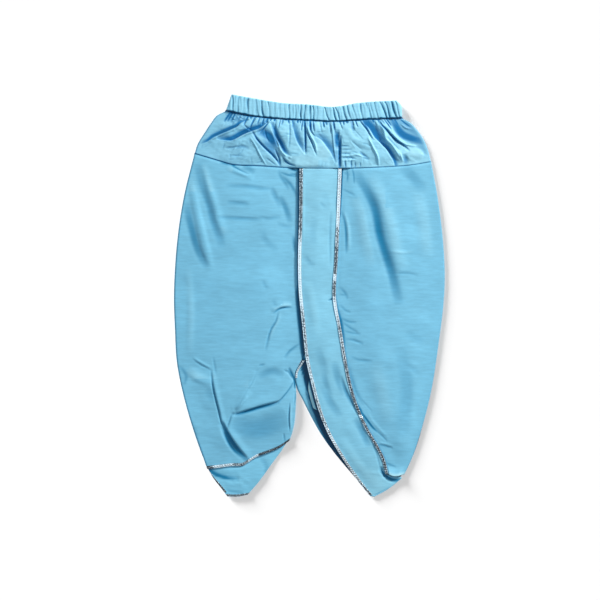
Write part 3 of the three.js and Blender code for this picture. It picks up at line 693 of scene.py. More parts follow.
def waistband_front(u, v):
    down, outside = casing_section(v)
    x, y = band_patch(u, down)
    relief, painted_light_and_wear = band_relief(x, down, BAND_CREASES, 5)
    full, thick = casing_thickness(u, down, x)
    from_seam = (1 - down) * BAND_HIGH
    z = BAND_LOW + thick * outside
    z += relief * outside * (END_RELIEF + (1 - END_RELIEF) * full)
    z -= SEAM_DROP * (1 - rounded(from_seam, SEAM_ROUND)) * outside
    y = y + SCALLOP * relief * (1 - smooth(0, SCALLOP_END, down))
    uneven = 0.5 * waves(x, y, 6, 4, 18, 1.0, 8)
    # Painted shadow in the groove at the seam, and painted shade towards the right end.
    groove = GROOVE_TONE * smooth(SEAM_GROOVE, GROOVE_FULL, from_seam + uneven)
    painted_light_and_wear = painted_light_and_wear + RIGHT_SHADE * smooth(55, 110, x)
    return x, y, z, marked(painted_light_and_wear, groove) * outside


band = sew(
    "waistband_front_casing", "waistband_front", 500, 44, waistband_front, band_cloth
)

# %% [markdown]
# The back of the waistband is the same casing turned over: its outer face is underneath, where it
# rests. Elastic gathers the back as much as the front, so it gets creases of its own.

# %% The waistband's back
BACK_CREASES = []
for at in np.arange(-110, 128, 6.1):
    top = at + rng.uniform(-2, 2)
    bottom = top + rng.uniform(-2.5, 2.5)
    depth = rng.uniform(0.4, 1.5)
    BACK_CREASES.append((top, bottom, depth, rng.uniform(1, 2.4), rng.uniform(1, 2)))


def waistband_back(u, v):
    down, outside = casing_section(v)
    x, y = band_patch(1 - u, down)
    relief, painted_light_and_wear = band_relief(x, down, BACK_CREASES, 6)
    full, thick = casing_thickness(u, down, x)
    z = CASING - thick * outside - np.minimum(relief, 0) * outside * full
    return x, y, np.clip(z, 0, CASING), painted_light_and_wear * outside


band_back = sew(
    "waistband_back_casing", "waistband_back", 220, 30, waistband_back, back_cloth
)

# %% [markdown]
# The yoke is the short piece between waistband and hip. Its top edge is gathered hard, its lower
# edge is plain, so deep folds fan out from the seam and die away. The biggest of them are listed
# one by one. Under the seam a row of tiny gathers is scattered, slanting outwards as the folds do.

# %% Folds of the yoke
YOKE_FOLDS = [
    (-3.0, 3.6, 0.9, (-153, 212.6), (-142.4, 216.4), (-134.8, 222.3), (-124.9, 226.9),
     (-116.7, 230.1), (-109.7, 233.3), (-101.6, 236.8), (-96.3, 242.1), (-86, 245.4)),
    (-1.5, 0.8, 0.8, (-151, 212.6), (-142.4, 215.6), (-134.6, 221.4), (-124.7, 226.1),
     (-116.4, 229.3), (-107, 233)),
    (1.8, 0.8, 1.8, (-148, 212.2), (-134.2, 220), (-124.4, 224.8), (-116.2, 228.2), (-101.2, 234.6),
     (-94, 240)),
    (-3.4, 5.4, 0.9, (-130, 219.4), (-117.9, 217.9), (-109.7, 217.9), (-103.9, 219.9), (-94.6, 225.2),
     (-85.2, 229.3), (-78.2, 231.6), (-70.1, 234.5), (-63.1, 239.2), (-59, 243.8), (-55, 250)),
    (-1.8, 0.8, 0.9, (-118, 217), (-109.7, 217.2), (-103.9, 219.2), (-94.6, 224.4), (-85.2, 228.5),
     (-76, 232)),
    (2.0, 0.8, 1.9, (-106, 217.2), (-94, 223), (-84.8, 227.2), (-77.6, 229.6), (-69.4, 232.6),
     (-60, 239)),
    (-1.2, 1.0, 1.2, (-92, 239.6), (-86.4, 234.5), (-79, 230)),
    (-2.2, 0.9, 1.1, (-56, 244), (-57.8, 241.5), (-61.9, 235.7), (-70, 227)),
    (-2.8, 1.4, 1.3, (-80.6, 231), (-78.8, 228.1), (-73.6, 219.3), (-66.6, 211.2), (-60.7, 205.3),
     (-54.9, 199.8), (-47.9, 192.5), (-42.1, 184.3), (-39, 178)),
    (1.3, 0.8, 1.0, (-83, 222), (-81.7, 219.9), (-74.7, 208.8), (-67.7, 194.8), (-60.7, 183.2),
     (-58, 178)),
    (-1.9, 6.0, 6.4, (-74, 230), (-64, 228), (-56, 222.4), (-50, 214), (-45, 203)),
    (-1.3, 6.0, 6.0, (-64, 220), (-57, 211), (-50, 202), (-44, 192)),
    (-1.6, 0.9, 1.1, (-53, 236), (-49, 226), (-46, 216), (-42, 206)),
    (-1.0, 0.8, 1.0, (-62, 232), (-60, 222), (-56, 214)),
    (-3.8, 4.2, 1.8, (-54.4, 243), (-52.6, 239.7), (-49.1, 232.2), (-45.6, 221.7), (-40.9, 213.5),
     (-35.1, 201.8), (-28, 193)),
    (2.0, 0.9, 2.4, (-43, 210), (-41.5, 207.7), (-37.4, 200.7), (-30.4, 195.4), (-24, 192)),
    (-2.0, 1.0, 1.3, (-48, 205), (-46.7, 201.8), (-43.2, 194.8), (-40.9, 185.5), (-41.6, 179)),
    (-2.2, 1.0, 1.2, (-38, 195), (-35.1, 190.7), (-29.2, 184.9), (-19, 181)),
    (1.5, 2.4, 1.0, (-36, 194), (-32, 190), (-26, 186)),
    (-0.8, 1.0, 1.0, (-60, 192), (-52, 186), (-46, 181.6)),
    (-0.9, 1.1, 1.6, (-28, 249), (-27.2, 229), (-28.4, 206)),
    (-1.6, 6.5, 1.2, (-24.6, 246), (-16.4, 215.8), (-5, 197)),
    (-3.2, 1.3, 1.3, (-6.4, 252), (-5.6, 224), (-5.3, 197)),
    (-1.8, 0.9, 1.2, (-0.6, 248), (2.3, 231), (8.4, 221)),
    (-2.2, 1.0, 1.2, (-5, 232), (2.3, 217), (5.8, 207.7), (10.4, 195)),
    (1.7, 1.0, 1.4, (-5, 242), (1.1, 225.2), (8.1, 212.3), (10.6, 200)),
    (-0.9, 0.9, 0.9, (5.4, 246), (7.5, 226)),
    (-1.7, 8.0, 1.0, (6, 225), (9.3, 222.8), (17.4, 217.6), (24.4, 208.8), (31.4, 198.3), (38, 184)),
    (1.6, 0.9, 1.0, (30.8, 247), (33.2, 225.2), (34.9, 207.7), (37.6, 187)),
    (-2.2, 2.0, 5.0, (40, 232), (40, 218), (41, 204)),
    (-3.6, 1.3, 2.8, (43.8, 224), (43.1, 200), (43.1, 172)),
    (1.0, 4.0, 4.0, (48, 240), (60.6, 220.5), (71, 213.5), (84, 204)),
    (-1.4, 1.6, 3.0, (59.4, 246), (60.6, 238), (63, 229)),
    (-1.2, 1.8, 2.6, (70, 201), (76, 196), (84, 190)),
    (1.8, 1.0, 1.0, (70, 250), (78.1, 238), (83.9, 229.8), (91, 218)),
    (-1.8, 0.9, 1.2, (68, 248), (75.8, 238), (82.8, 228.7), (88, 219)),
    (1.8, 1.1, 1.8, (82, 222), (89.8, 206.5), (95.6, 194.8), (98, 178)),
    (-5.4, 10.0, 1.0, (68, 256), (78.1, 241.5), (85.1, 233.3), (92.1, 221.7), (100.3, 213.5),
     (108.4, 205.3)),
    (-4.4, 4.6, 1.0, (92, 222), (103, 210.8), (108.4, 205.3), (114.3, 196), (118.9, 187.8), (122, 174)),
    (2.4, 3.0, 0.8, (98, 240), (104, 231), (106.6, 219.3), (115.4, 210), (123.6, 198.3), (129, 191)),
    (-1.1, 0.8, 0.9, (108, 222), (117, 213), (126, 203)),
    (-3.2, 0.9, 2.0, (97, 249), (101.4, 239.2), (108.4, 232.2), (115.4, 224), (122.4, 217),
     (131.8, 211.2), (136.4, 206.5), (141, 202)),
    (1.8, 1.8, 0.9, (110, 234), (118, 223.6), (126, 217), (136, 211)),
    (-6.0, 6.0, 6.0, (110, 258), (119, 243), (124.6, 232.6), (131.6, 225.2), (141, 221), (152, 217.6),
     (172, 211)),
    (1.8, 0.9, 1.2, (114, 236), (118, 226.5), (124, 219), (131, 213.4), (140, 210.4), (152, 209.4)),
    (1.2, 1.6, 1.6, (122, 246), (130, 238.4), (136, 234.8), (150, 231)),
    (-1.1, 8.0, 8.0, (112, 257), (128, 245), (144, 233), (158, 222), (170, 209)),
    (-2.4, 1.5, 1.5, (125, 249), (134.1, 241.5), (144, 234.6)),
    (-1.0, 5.0, 5.0, (150, 212), (160, 207), (168, 196)),
    (-1.4, 3.4, 3.4, (133, 198), (135, 190), (135.6, 183)),
    (1.3, 1.0, 1.0, (127, 200), (129, 194), (131, 187)),
    (1.3, 12, 14, (-30, 205), (-14, 190), (8, 186), (28, 184)),
    (1.3, 9, 9, (-2, 216), (16, 204), (30, 192)),
    (1.2, 7, 7, (132, 205), (146, 198), (160, 196)),
    (0.9, 6, 7, (-44, 240), (-32, 224), (-24, 208)),
]
WRINKLES = [
    (-1.6, 1.0, 1.2, (49.6, 190), (51.6, 174)), (-1.5, 1.0, 1.1, (58.4, 190), (59.2, 174)),
    (-1.2, 0.9, 1.1, (64.1, 187), (64.4, 174)), (-0.9, 0.9, 1.1, (71.1, 187), (71.4, 176)),
    (-1.0, 1.0, 1.2, (44, 192.6), (58, 192.4), (66, 191)),
    (1.1, 1.0, 1.0, (44, 188.6), (56, 188.8), (66, 190)),
    (1.0, 1.0, 1.0, (44, 194.6), (56, 195.4), (68, 196.6)), (-1.0, 1.0, 1.2, (43, 198.4), (58, 198.2)),
    (-0.9, 1.0, 1.2, (43, 209), (56, 208.6)), (-0.7, 1.0, 1.2, (44, 203.4), (60, 204)),
    (0.9, 1.2, 1.0, (60, 199), (70, 195.6), (82, 192)), (-0.7, 1.4, 1.4, (-118, 206), (-98, 208)),
    (-0.7, 2.0, 3.0, (-104, 207), (-94, 208.6), (-84, 206)), (-0.5, 1.2, 1.2, (-112, 196), (-92, 195)),
    (-0.8, 2.6, 2.6, (-112, 247), (-106, 242)), (-1.4, 1.4, 1.4, (-98, 243), (-92, 244.5), (-84, 246)),
    (-1.3, 0.8, 0.8, (-118, 254), (-111, 249.4), (-113, 244)),
    (-1.3, 0.8, 0.8, (-112, 255), (-108, 248), (-103, 244)),
    (-1.1, 0.8, 0.8, (-106, 254), (-101, 248.6), (-104, 242)),
    (-1.1, 0.8, 0.8, (-100, 253), (-95, 248), (-89, 246)),
    (-1.0, 0.8, 0.8, (-113, 247), (-106, 246), (-99, 247.6)),
    (1.0, 0.9, 0.9, (-110, 252), (-105, 247), (-108, 242)),
]
FAN = 0.007  # how far small wrinkles lean outwards, for each mm from the middle
FINE_WRINKLES = []
for _ in range(90):
    x0, y0 = rng.uniform(-150, 160), rng.uniform(184, 242)
    long, lean = rng.uniform(5, 14), FAN * x0 + rng.uniform(-0.9, 0.9)
    level = rng.random() < 0.35
    across, fall = (long, 0.3 * lean * long) if level else (lean * long, long)
    size = rng.uniform(0.8, 1.5)
    FINE_WRINKLES.append(
        (rng.choice((-0.4, -0.3, 0.35, 0.25)), size, size, (x0, y0), (x0 + across, y0 - fall))
    )
GATHERS = []
for at in np.arange(WAIST_FROM, WAIST_TO, 3.1):
    x0 = at + rng.uniform(-1.8, 1.8)
    y0 = float(WAIST_SEAM.y_at_x(x0)) + 3
    fall = rng.uniform(5, 22)
    lean = 0.006 * x0 * fall + rng.uniform(-2, 2)
    if rng.random() < 0.72:
        size = rng.uniform(0.7, 1.5)
        GATHERS.append((-rng.uniform(0.7, 2.6), size, 1.3 * size, (x0, y0), (x0 + lean, y0 - fall)))
YOKE_TABLE = YOKE_FOLDS + WRINKLES + FINE_WRINKLES + GATHERS
print("folds on the yoke:", len(YOKE_TABLE))

# %% [markdown]
# The yoke bows up between its two seams, as air is trapped under gathered cloth. The body of the
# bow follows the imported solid, and the table of folds is added on top. A trough can't sink below
# the back of the garment, so heights near nothing are eased off.

# %% The yoke
LEAST_RISE = 0.6  # height in mm below which a trough is eased off
YOKE_HIGH = 70  # mm from the waist seam to the hip seam
YOKE_PUFF = 5.0  # how far the yoke bows up half way down
YOKE_SIDE = 0.2  # share of its width over which the bow comes down at each side
YOKE_OVER = 2.7  # how far the gathered edge lies above the flat front
YOKE_FALL = 0.75  # share of the way down at which that rise has died away
SIDE_LEVEL = 0.3  # share of that rise that is left at the sides
FOLD_SIDE, FOLD_HIP = 0.018, 0.06  # shares over which the folds die away at the sides and the hip
WAIST_TUCK = 1.6  # how far the gathered edge dips and runs on behind the waistband
SEAM_RISE, DRAPE_STEP = 0.9, 2.2  # rise of the hip seam, and the step where the drape is sewn in
BACK_EDGE = 1.3  # level at the sides where the front folds round to the back
SIDE_ROUND = 2.0  # how far a side rounds off
YOKE_TONE = 1.04  # the painted shade of the yoke's folds is this much deeper
# Painted shade and highlight across the yoke from left to right: below 0 is paler than the cloth
# elsewhere.
YOKE_ACROSS = (-160, -100, -45, 0, 45, 100, 150)
YOKE_PAINTED_SHADES = (0.1, 0.12, 0.0, -0.06, -0.06, -0.06, -0.08)
# Painted shade where a side rounds away from the light: its depth and the width that shows it.
LEFT_RIM, RIGHT_RIM = (0.5, 3.6), (0.32, 2.8)
RIM_FULL = 0.4  # mm from the side within which a rim's painted shade is at its full depth


def eased(height):
    # The limit of 9 only keeps the exponential of a high ridge in range.
    sunk = LEAST_RISE * np.exp(np.minimum(height, 9) / LEAST_RISE - 1)
    return np.where(height > LEAST_RISE, height, sunk)


def beside_drape(x, y):
    return np.maximum(DRAPE_LEFT.x_at_y(y) - x, x - DRAPE_RIGHT.x_at_y(y))


def clear_of_drape(x, y):
    return smooth(4, 17, beside_drape(x, y))


def seam_rise(x):
    ends = HIP_SEAM.xy[0, 0], HIP_SEAM.xy[-1, 0]
    return SEAM_RISE * smooth(0, 25, x - ends[0]) * smooth(0, 25, ends[1] - x)


def folded_round(z, from_side):
    return BACK_EDGE + SHELL + (z - BACK_EDGE - SHELL) * rounded(from_side, SIDE_ROUND)


# Painted shade along a side that rounds away from the light.
def rim(look, from_side):
    depth, wide = look
    return depth * smooth(wide, RIM_FULL, from_side)


yoke_patch = patch(WAIST_SEAM, HIP_SEAM, YOKE_LEFT, YOKE_RIGHT)


def yoke_front(u, v):
    x, y = yoke_patch(u, v)
    side = smooth(0, YOKE_SIDE, u) * smooth(1, 1 - YOKE_SIDE, u)
    waist = YOKE_OVER * smooth(YOKE_FALL, 0, v) * lerp(SIDE_LEVEL, 1, side)
    body = YOKE_PUFF * np.sin(np.pi * v) ** 0.8 * side
    folds, painted_light_and_wear = fold_heights(x, y, YOKE_TABLE)
    folds += waves(x, y, 9, 16, 50, 0.4, 11, 1.6) + waves(x, y, 16, 4, 11, 0.09, 12, 1.8)
    fold_side = smooth(0, FOLD_SIDE, u) * smooth(1, 1 - FOLD_SIDE, u)
    gathers = folds * fold_side * smooth(1.0, 1 - FOLD_HIP, v)
    seam = seam_rise(x) + DRAPE_STEP * (1 - clear_of_drape(x, y))
    z = FRONT_TOP + seam * v**4 + waist + eased(body + gathers) - eased(0.0)
    tuck = WAIST_TUCK * (1 - smooth(0, 0.02, v))
    z = z - tuck - 0.7 * smooth(0.985, 1, v)
    y = y - GAP * (1 - v) + GAP / 2 * v + tuck
    left, right = sides(yoke_patch, u, v)
    z = folded_round(z, np.minimum(x - left, right - x))
    uneven = 0.006 * waves(x, y, 6, 4, 16, 1.0, 9)
    # Painted shadow under the waistband, and painted shade along the hip seam.
    under_band = 1.8 * smooth(SEAM_GROOVE / YOKE_HIGH, 0.008, v + uneven)
    at_hip = 1.2 * smooth(0.983, 0.993, v) * lerp(1, 0.5, smooth(-110, 0, x))
    painted_light_and_wear = YOKE_TONE * painted_light_and_wear * fold_side + np.interp(x, YOKE_ACROSS, YOKE_PAINTED_SHADES)
    painted_light_and_wear = marked(marked(painted_light_and_wear, under_band), at_hip)
    rims = np.maximum(rim(LEFT_RIM, x - left), rim(RIGHT_RIM, right - x))
    return x, y, z, marked(painted_light_and_wear, rims)


yoke = sew("yoke_front_cloth", "yoke_front", 420, 100, yoke_front, yoke_cloth)

# %% [markdown]
# The legs are wide tulip shapes that hang from the hip seam and overlap like petals. Laid flat they
# hold a little air and show a few long soft troughs from the hip and some sharp creases where the
# lower part has been folded. They lie flat beside and under the drape, which rests on them.

# %% Folds of the left leg
LEFT_FOLDS = [
    (-1.2, 5.4, 6.4, (-158, 186), (-153.3, 172.3), (-148.6, 156.2), (-143, 138.7), (-137.6, 122.8),
     (-134.9, 109.3), (-130.9, 95.9), (-125, 80), (-122, 66)),
    (1.5, 7, 6, (-151, 184), (-144, 156), (-136, 132), (-128, 106), (-120, 84)),
    (1.5, 5, 6, (-168, 168), (-160.5, 136), (-156.4, 114.7), (-151, 93.2), (-147, 75.9),
     (-141.6, 55.7), (-137, 34)),
    (-1.4, 4.4, 6.0, (-172, 130), (-166.5, 104), (-162.7, 89.2), (-159.3, 75.9), (-154.7, 62.4),
     (-149.4, 51.7), (-142, 39)),
    (-2.2, 1.0, 1.4, (-126, 185.6), (-115, 184), (-109, 183), (-103.5, 179.7), (-94.6, 174.4),
     (-84, 169)),
    (1.2, 5, 3, (-116, 178), (-98, 172), (-78, 163)),
    (-0.8, 3, 5, (-94, 181), (-84, 178), (-76, 172)),
    (-0.7, 2.0, 4.0, (-118, 154), (-86, 153), (-48, 148)),
    (-0.7, 2.0, 4.0, (-116, 131), (-100, 130), (-84, 128)),
    (-0.8, 1.6, 4.0, (-130, 110), (-106, 109), (-66, 107)),
    (-0.5, 2.0, 3.0, (-72, 110), (-56, 108), (-40, 110)),
    (-2.0, 1.1, 1.8, (-31, 178), (-22, 176), (-12, 173.4)),
    (-1.6, 1.1, 1.6, (-41, 173), (-30, 169), (-14, 166.5)),
    (-1.4, 1.1, 1.6, (-28, 171), (-20, 170), (-12, 170.5)),
    (-1.3, 1.6, 3.0, (-39, 168), (-26, 156), (-16, 139)),
    (-1.0, 1.6, 3.0, (-42, 176), (-40, 168), (-32, 156), (-28, 148)),
    (-0.8, 3.4, 4.6, (-54, 152), (-46, 136), (-38, 122)),
    (-1.1, 3.4, 4.6, (-42, 140), (-32, 121), (-26, 102)),
    (-0.4, 2.6, 3.4, (-46, 101), (-34, 97), (-24, 96)),
    (-1.2, 1.8, 3.0, (-22, 84), (-20.5, 72), (-20, 60)),
    (-0.35, 4.0, 5.0, (-66, 92), (-62, 78), (-44, 62)),
    (-0.35, 2.4, 3.0, (-66, 22), (-62, 14), (-58, 8)),
    (-0.4, 2.4, 3.0, (-52, -6), (-46, -14), (-36, -10)),
    (-1.9, 1.2, 1.3, (-51, -25.5), (-43, -19.2), (-37.5, -17.2), (-24, -16.6)),
    (1.6, 5.0, 1.2, (-51, -24), (-43, -17.8), (-37.5, -15.8), (-24, -15)),
    (-1.2, 1.2, 1.2, (-43, -22), (-46.6, -35.6), (-53.9, -48.3), (-57.7, -61.2), (-61.3, -78)),
    (-0.9, 1.0, 1.2, (-48, -38), (-52, -44), (-56, -52)),
    (0.8, 3.0, 1.2, (-42, -24), (-45, -36), (-52, -48), (-56, -61)),
    (0.9, 1.8, 1.0, (-163, -87), (-152.9, -93.6), (-136.4, -102.7)),
    (-0.5, 1.0, 1.4, (-163, -89.6), (-152.9, -96), (-136.4, -105)),
    (-0.6, 1.0, 1.1, (-134.5, -86), (-132.6, -97.9), (-130.4, -111)),
    (-2.0, 1.1, 1.2, (-137.4, -104), (-135.4, -123.5), (-131.7, -141.8), (-127.1, -160),
     (-122.6, -178.4), (-113, -196)),
    (1.2, 5.0, 1.0, (-136, -106), (-134, -123.5), (-130.4, -141.8), (-125.8, -160), (-121, -178.4),
     (-112, -194)),
    (-4.6, 1.3, 5.0, (-122, -176), (-115.4, -189.4), (-109, -200.6), (-100, -213.4), (-84, -232)),
    (-2.2, 1.3, 3.0, (-121.5, -184), (-114, -202), (-105, -215.5), (-90, -228)),
    (1.6, 7.0, 1.2, (-117, -184), (-108, -198), (-98.6, -211.5), (-85, -229)),
    (-2.6, 1.2, 3.0, (-109, -166), (-99.7, -164.9), (-85, -160.6), (-70.4, -156), (-55.7, -152.2),
     (-42, -148)),
    (2.0, 9.0, 1.1, (-109, -164.4), (-99.7, -162.9), (-85, -158.2), (-70.4, -153.6), (-55.7, -149.9),
     (-43, -146.3), (-33, -137), (-20, -118)),
    (-1.3, 1.0, 1.2, (-52, -151), (-43, -148.3), (-34.6, -139.4), (-27.4, -130.2), (-19, -116)),
    (-0.8, 1.0, 1.2, (-105, -163), (-109, -168), (-112, -177), (-114.4, -183.8), (-117, -190)),
    (1.0, 3.0, 1.0, (-103.6, -163), (-109.3, -173.5), (-113, -184)),
    (-0.5, 1.6, 1.2, (-100, -156), (-90.4, -138), (-79.3, -121.5), (-72, -102)),
    (0.7, 8.0, 1.4, (-99, -156), (-90.4, -139.9), (-79.3, -123.5), (-74, -106)),
    (1.7, 2.0, 2.0, (-103, -160), (-95.5, -152), (-86, -141)),
    (-0.9, 1.0, 1.2, (-71, -98), (-62, -96.6)),
    (-1.0, 1.4, 2.4, (-36, -88), (-28, -78), (-12, -66)),
    (-1.5, 1.2, 1.8, (-30, -104), (-24.5, -113), (-20, -119)),
    (-0.7, 5.0, 5.0, (-72, -114), (-52, -106), (-36, -112)),
    (0.9, 6.0, 5.0, (-102, -158), (-92, -148), (-82, -134)),
    (-0.9, 17, 13, (-112, -176), (-84, -188), (-62, -186), (-30, -172)),
    (-3.0, 1.2, 1.3, (-29, -101), (-24.4, -109), (-21.6, -115.4), (-20.4, -122), (-20.6, -131)),
    (-1.2, 1.0, 1.0, (-36, -104), (-28, -108), (-21, -112)),
    (-1.1, 1.0, 1.2, (-27.4, -150), (-28.3, -171), (-27.6, -190)),
    (0.8, 2.4, 1.0, (-26, -150), (-27, -171), (-26, -190)),
    (-1.0, 1.0, 1.2, (-36, -193), (-35, -199), (-33.6, -206)),
    (-0.7, 1.0, 1.2, (-19.4, -134), (-20.2, -146), (-21, -154)),
    (-0.9, 2.0, 2.6, (-184, -97), (-176, -105), (-172, -114), (-176, -126)),
    (1.2, 8.0, 5.0, (-172, -104), (-156, -116), (-136, -124)),
    (-0.4, 6.0, 6.0, (-146, -132), (-138, -140), (-134, -150)),
    (-0.8, 1.0, 1.2, (-104, -219), (-98, -223), (-92, -229)),
    (0.6, 5.0, 5.0, (-170, 40), (-166, -20), (-168, -84)),
]
print("folds on the left leg:", len(LEFT_FOLDS))

# %% Folds of the right leg
RIGHT_FOLDS = [
    (-1.8, 7.4, 6.2, (63, 176), (75.2, 154.3), (84, 138.2), (89.9, 124.9), (94.4, 107.2),
     (97.8, 86.5), (103.2, 67.5), (109.1, 49.7), (114.9, 30.7), (119.8, 10), (125, -14)),
    (1.0, 9.0, 7.0, (84, 172), (100, 140), (112, 104), (120, 70), (132, 30)),
    (1.0, 6.0, 9.0, (58, 150), (72, 120), (78, 88), (88, 40)),
    (-1.7, 1.4, 1.6, (45, 120), (50.1, 101.4), (51.5, 86.5), (51.8, 58)),
    (0.9, 3.0, 1.4, (48, 118), (53, 100), (54.6, 84), (55, 62)),
    (-1.3, 1.1, 1.4, (52, 179), (54, 168), (53, 158)),
    (-1.5, 1.1, 1.4, (60, 179), (62.7, 168), (63, 156)),
    (-1.0, 1.2, 1.4, (48, 172), (57, 169)),
    (-0.8, 1.2, 1.6, (46, 150), (56, 144), (64, 140)),
    (-0.6, 7.0, 9.0, (130, 182), (150.2, 160.3), (160, 146)),
    (0.8, 9.0, 9.0, (150, 150), (160, 100), (166, 50)),
    (-1.0, 1.4, 2.0, (42, 12), (50, 4), (54, -6)),
    (-0.8, 1.2, 1.8, (42, 2), (54, 0)),
    (-0.8, 1.2, 1.8, (43, -12), (50, -20), (58, -24)),
    (-1.1, 1.2, 1.8, (43, -30), (54, -36), (66, -38)),
    (-1.1, 1.2, 1.8, (45, -36), (56, -44), (68, -52)),
    (-0.9, 1.2, 1.8, (46, -48), (58, -52), (72, -54)),
    (-0.9, 1.2, 1.8, (48, -60), (60, -62), (76, -68)),
    (-0.7, 1.6, 2.4, (56, -84), (70, -90), (88, -92)),
    (-0.9, 3.0, 1.4, (53, -94), (60, -118), (66, -136), (76, -154)),
    (-3.0, 1.2, 1.6, (71, -159), (75.3, -166), (82.3, -175.7), (90, -185.6), (97, -192)),
    (-0.9, 1.0, 1.1, (88, -184), (99.1, -194.2), (109, -204)),
    (0.4, 2.4, 1.2, (80, -162), (89, -177), (98.6, -188), (112, -201)),
    (-0.5, 1.0, 1.4, (60, -122), (68, -140), (78, -151), (88, -163)),
    (-1.2, 1.0, 1.6, (92, -207.3), (101.9, -209.3), (117, -213.4)),
    (0.8, 2.0, 1.0, (92, -205.4), (101.9, -207.4), (117, -211.4)),
    (-1.1, 1.0, 1.6, (104, -233), (112, -236), (122, -240)),
    (-0.5, 9.0, 10, (126, -70), (136, -120), (130, -200)),
    (0.7, 10, 10, (92, -90), (100, -130), (112, -180)),
    (-0.3, 6.0, 6.0, (134, -52), (146, -60), (160, -66)),
    (-0.3, 4.0, 4.0, (128, -96), (142, -102), (156, -112)),
    (0.6, 1.6, 1.6, (112, 62), (130, 60), (146, 61)), (-0.5, 1.6, 1.6, (118, 30), (136, 31), (152, 28)),
]
print("folds on the right leg:", len(RIGHT_FOLDS))

# %% The leg fronts
LEG_PUFF = 2.8  # how far a leg bows up
LEG_SIDE, LEG_END = 0.42, 0.1  # shares of its width and length over which the bow comes down
DRAPE_SLOPE = 55  # mm beside the drape over which the cloth comes down to it
CENTRE_GAP = 0.8  # gap between the two legs where they meet
HIP_TUCK = 1.4  # how far the top edge dips and runs on under the yoke
HEM_CURL = 3.4  # how far the right hem curls up
DENSER = 0.3  # how much closer the grid's lines stand at the two sides of a leg
# How wide and how deep the painted shadow beside the drape is, at heights down the garment.
SHADE_HIGH = (180, 160, 110, 50, 16, 4, -30, -70, -95, -120)
SHADE_LEFT = (5.0, 3.6, 3.2, 2.2, 2.2, 6.0, 8.0, 8.4, 7.0, 4.0)
SHADE_LEFT_DEPTH = (2.0, 1.8, 1.6, 1.5, 1.6, 1.8, 1.9, 1.9, 1.9, 1.5)
RIGHT_HIGH = (180, 140, 112, 100, 4, -20, -34, -60, -76, -150, -160, -176)
SHADE_RIGHT = (2.8, 2.2, 1.6, 0.6, 0.6, 3.4, 5.6, 4.4, 2.4, 2.2, 4.6, 2.4)
SHADE_RIGHT_DEPTH = (1.9, 1.8, 1.1, 0.3, 0.3, 0.8, 1.1, 0.9, 0.5, 0.4, 1.1, 0.5)
UNDER_DRAPE = -6  # how far under the drape's edges the shade runs on
FULL_LEFT, FULL_RIGHT = 0.16, 0.3  # shares of the shade's width where it is at its deepest
seam_split = HIP_SEAM.share_at_x(CENTRE)
back_split = HIP_SEAM.share_at_x(BACK_CENTRE)
left_front_patch = patch(
    part_of(HIP_SEAM, 0, seam_split), LEFT_FRONT_HEM, LEFT_FRONT_OUTER, LEFT_FRONT_INNER
)
right_front_patch = patch(
    part_of(HIP_SEAM, seam_split, 1), RIGHT_FRONT_HEM, RIGHT_FRONT_INNER, RIGHT_FRONT_OUTER
)


def denser_at_sides(u):
    return u - DENSER * np.sin(math.tau * u) / math.tau


def leg_point(panel, u, v, centre_side):
    x, y = panel(u, v)
    return x + CENTRE_GAP / 2 * centre_side, y - GAP / 2 * (1 - v)


def profile(heights, values, y):
    return np.interp(-y, -np.array(heights), values)


# Painted shadow beside the drape's edges.
def shade_beside_drape(x, y):
    left, right = DRAPE_LEFT.x_at_y(y) - x, x - DRAPE_RIGHT.x_at_y(y)
    wide = profile(SHADE_HIGH, SHADE_LEFT, y)
    deep = profile(SHADE_HIGH, SHADE_LEFT_DEPTH, y)
    on_left = deep * smooth(wide, FULL_LEFT * wide, left) * (left > UNDER_DRAPE)
    wide = profile(RIGHT_HIGH, SHADE_RIGHT, y)
    deep = profile(RIGHT_HIGH, SHADE_RIGHT_DEPTH, y)
    return on_left + deep * smooth(wide, FULL_RIGHT * wide, right) * (right > UNDER_DRAPE)


def leg_front(panel, folds, u, v, outer, centre_side, seed):
    x, y = leg_point(panel, u, v, centre_side)
    beside = beside_drape(x, y)
    near_drape = smooth(0.5, 7, beside)
    puff = LEG_PUFF * smooth(1, DRAPE_SLOPE, beside) * smooth(0, LEG_SIDE, outer)
    puff = puff * smooth(0, LEG_END, v) * smooth(1, 1 - LEG_END, v)
    relief, painted_light_and_wear = fold_heights(x, y, folds)
    relief += waves(x, y, 10, 24, 70, 0.3, seed, 1.7) + waves(x, y, 14, 5, 12, 0.035, seed + 1, 3.0)
    reach = smooth(0, 0.04, outer) * near_drape
    seam = seam_rise(x) * clear_of_drape(x, y) * smooth(LEG_END, 0, v)
    z = FRONT_TOP + seam + eased(puff + relief * reach) * near_drape
    tuck = HIP_TUCK * (1 - smooth(0, 0.004, v))
    y = y + tuck
    z = z - tuck - 0.4 * (1 - smooth(0, 0.008, v))
    from_side = outer * width_of(panel, u, v)
    z = folded_round(z, from_side)
    painted_light_and_wear = painted_light_and_wear * smooth(0, 0.02, outer) * smooth(-2, 0.6, beside)
    # Painted shade along the hip seam.
    painted_light_and_wear = marked(painted_light_and_wear, 1.1 * smooth(0.0016, 0.0004, v) * smooth(20, -60, x))
    painted_light_and_wear = marked(painted_light_and_wear, rim(LEFT_RIM if centre_side < 0 else RIGHT_RIM, from_side))
    return x, y, z, marked(painted_light_and_wear, shade_beside_drape(x, y))


def left_leg_front(u, v):
    u = denser_at_sides(u)
    return leg_front(left_front_patch, LEFT_FOLDS, u, v, u, -1, 21)


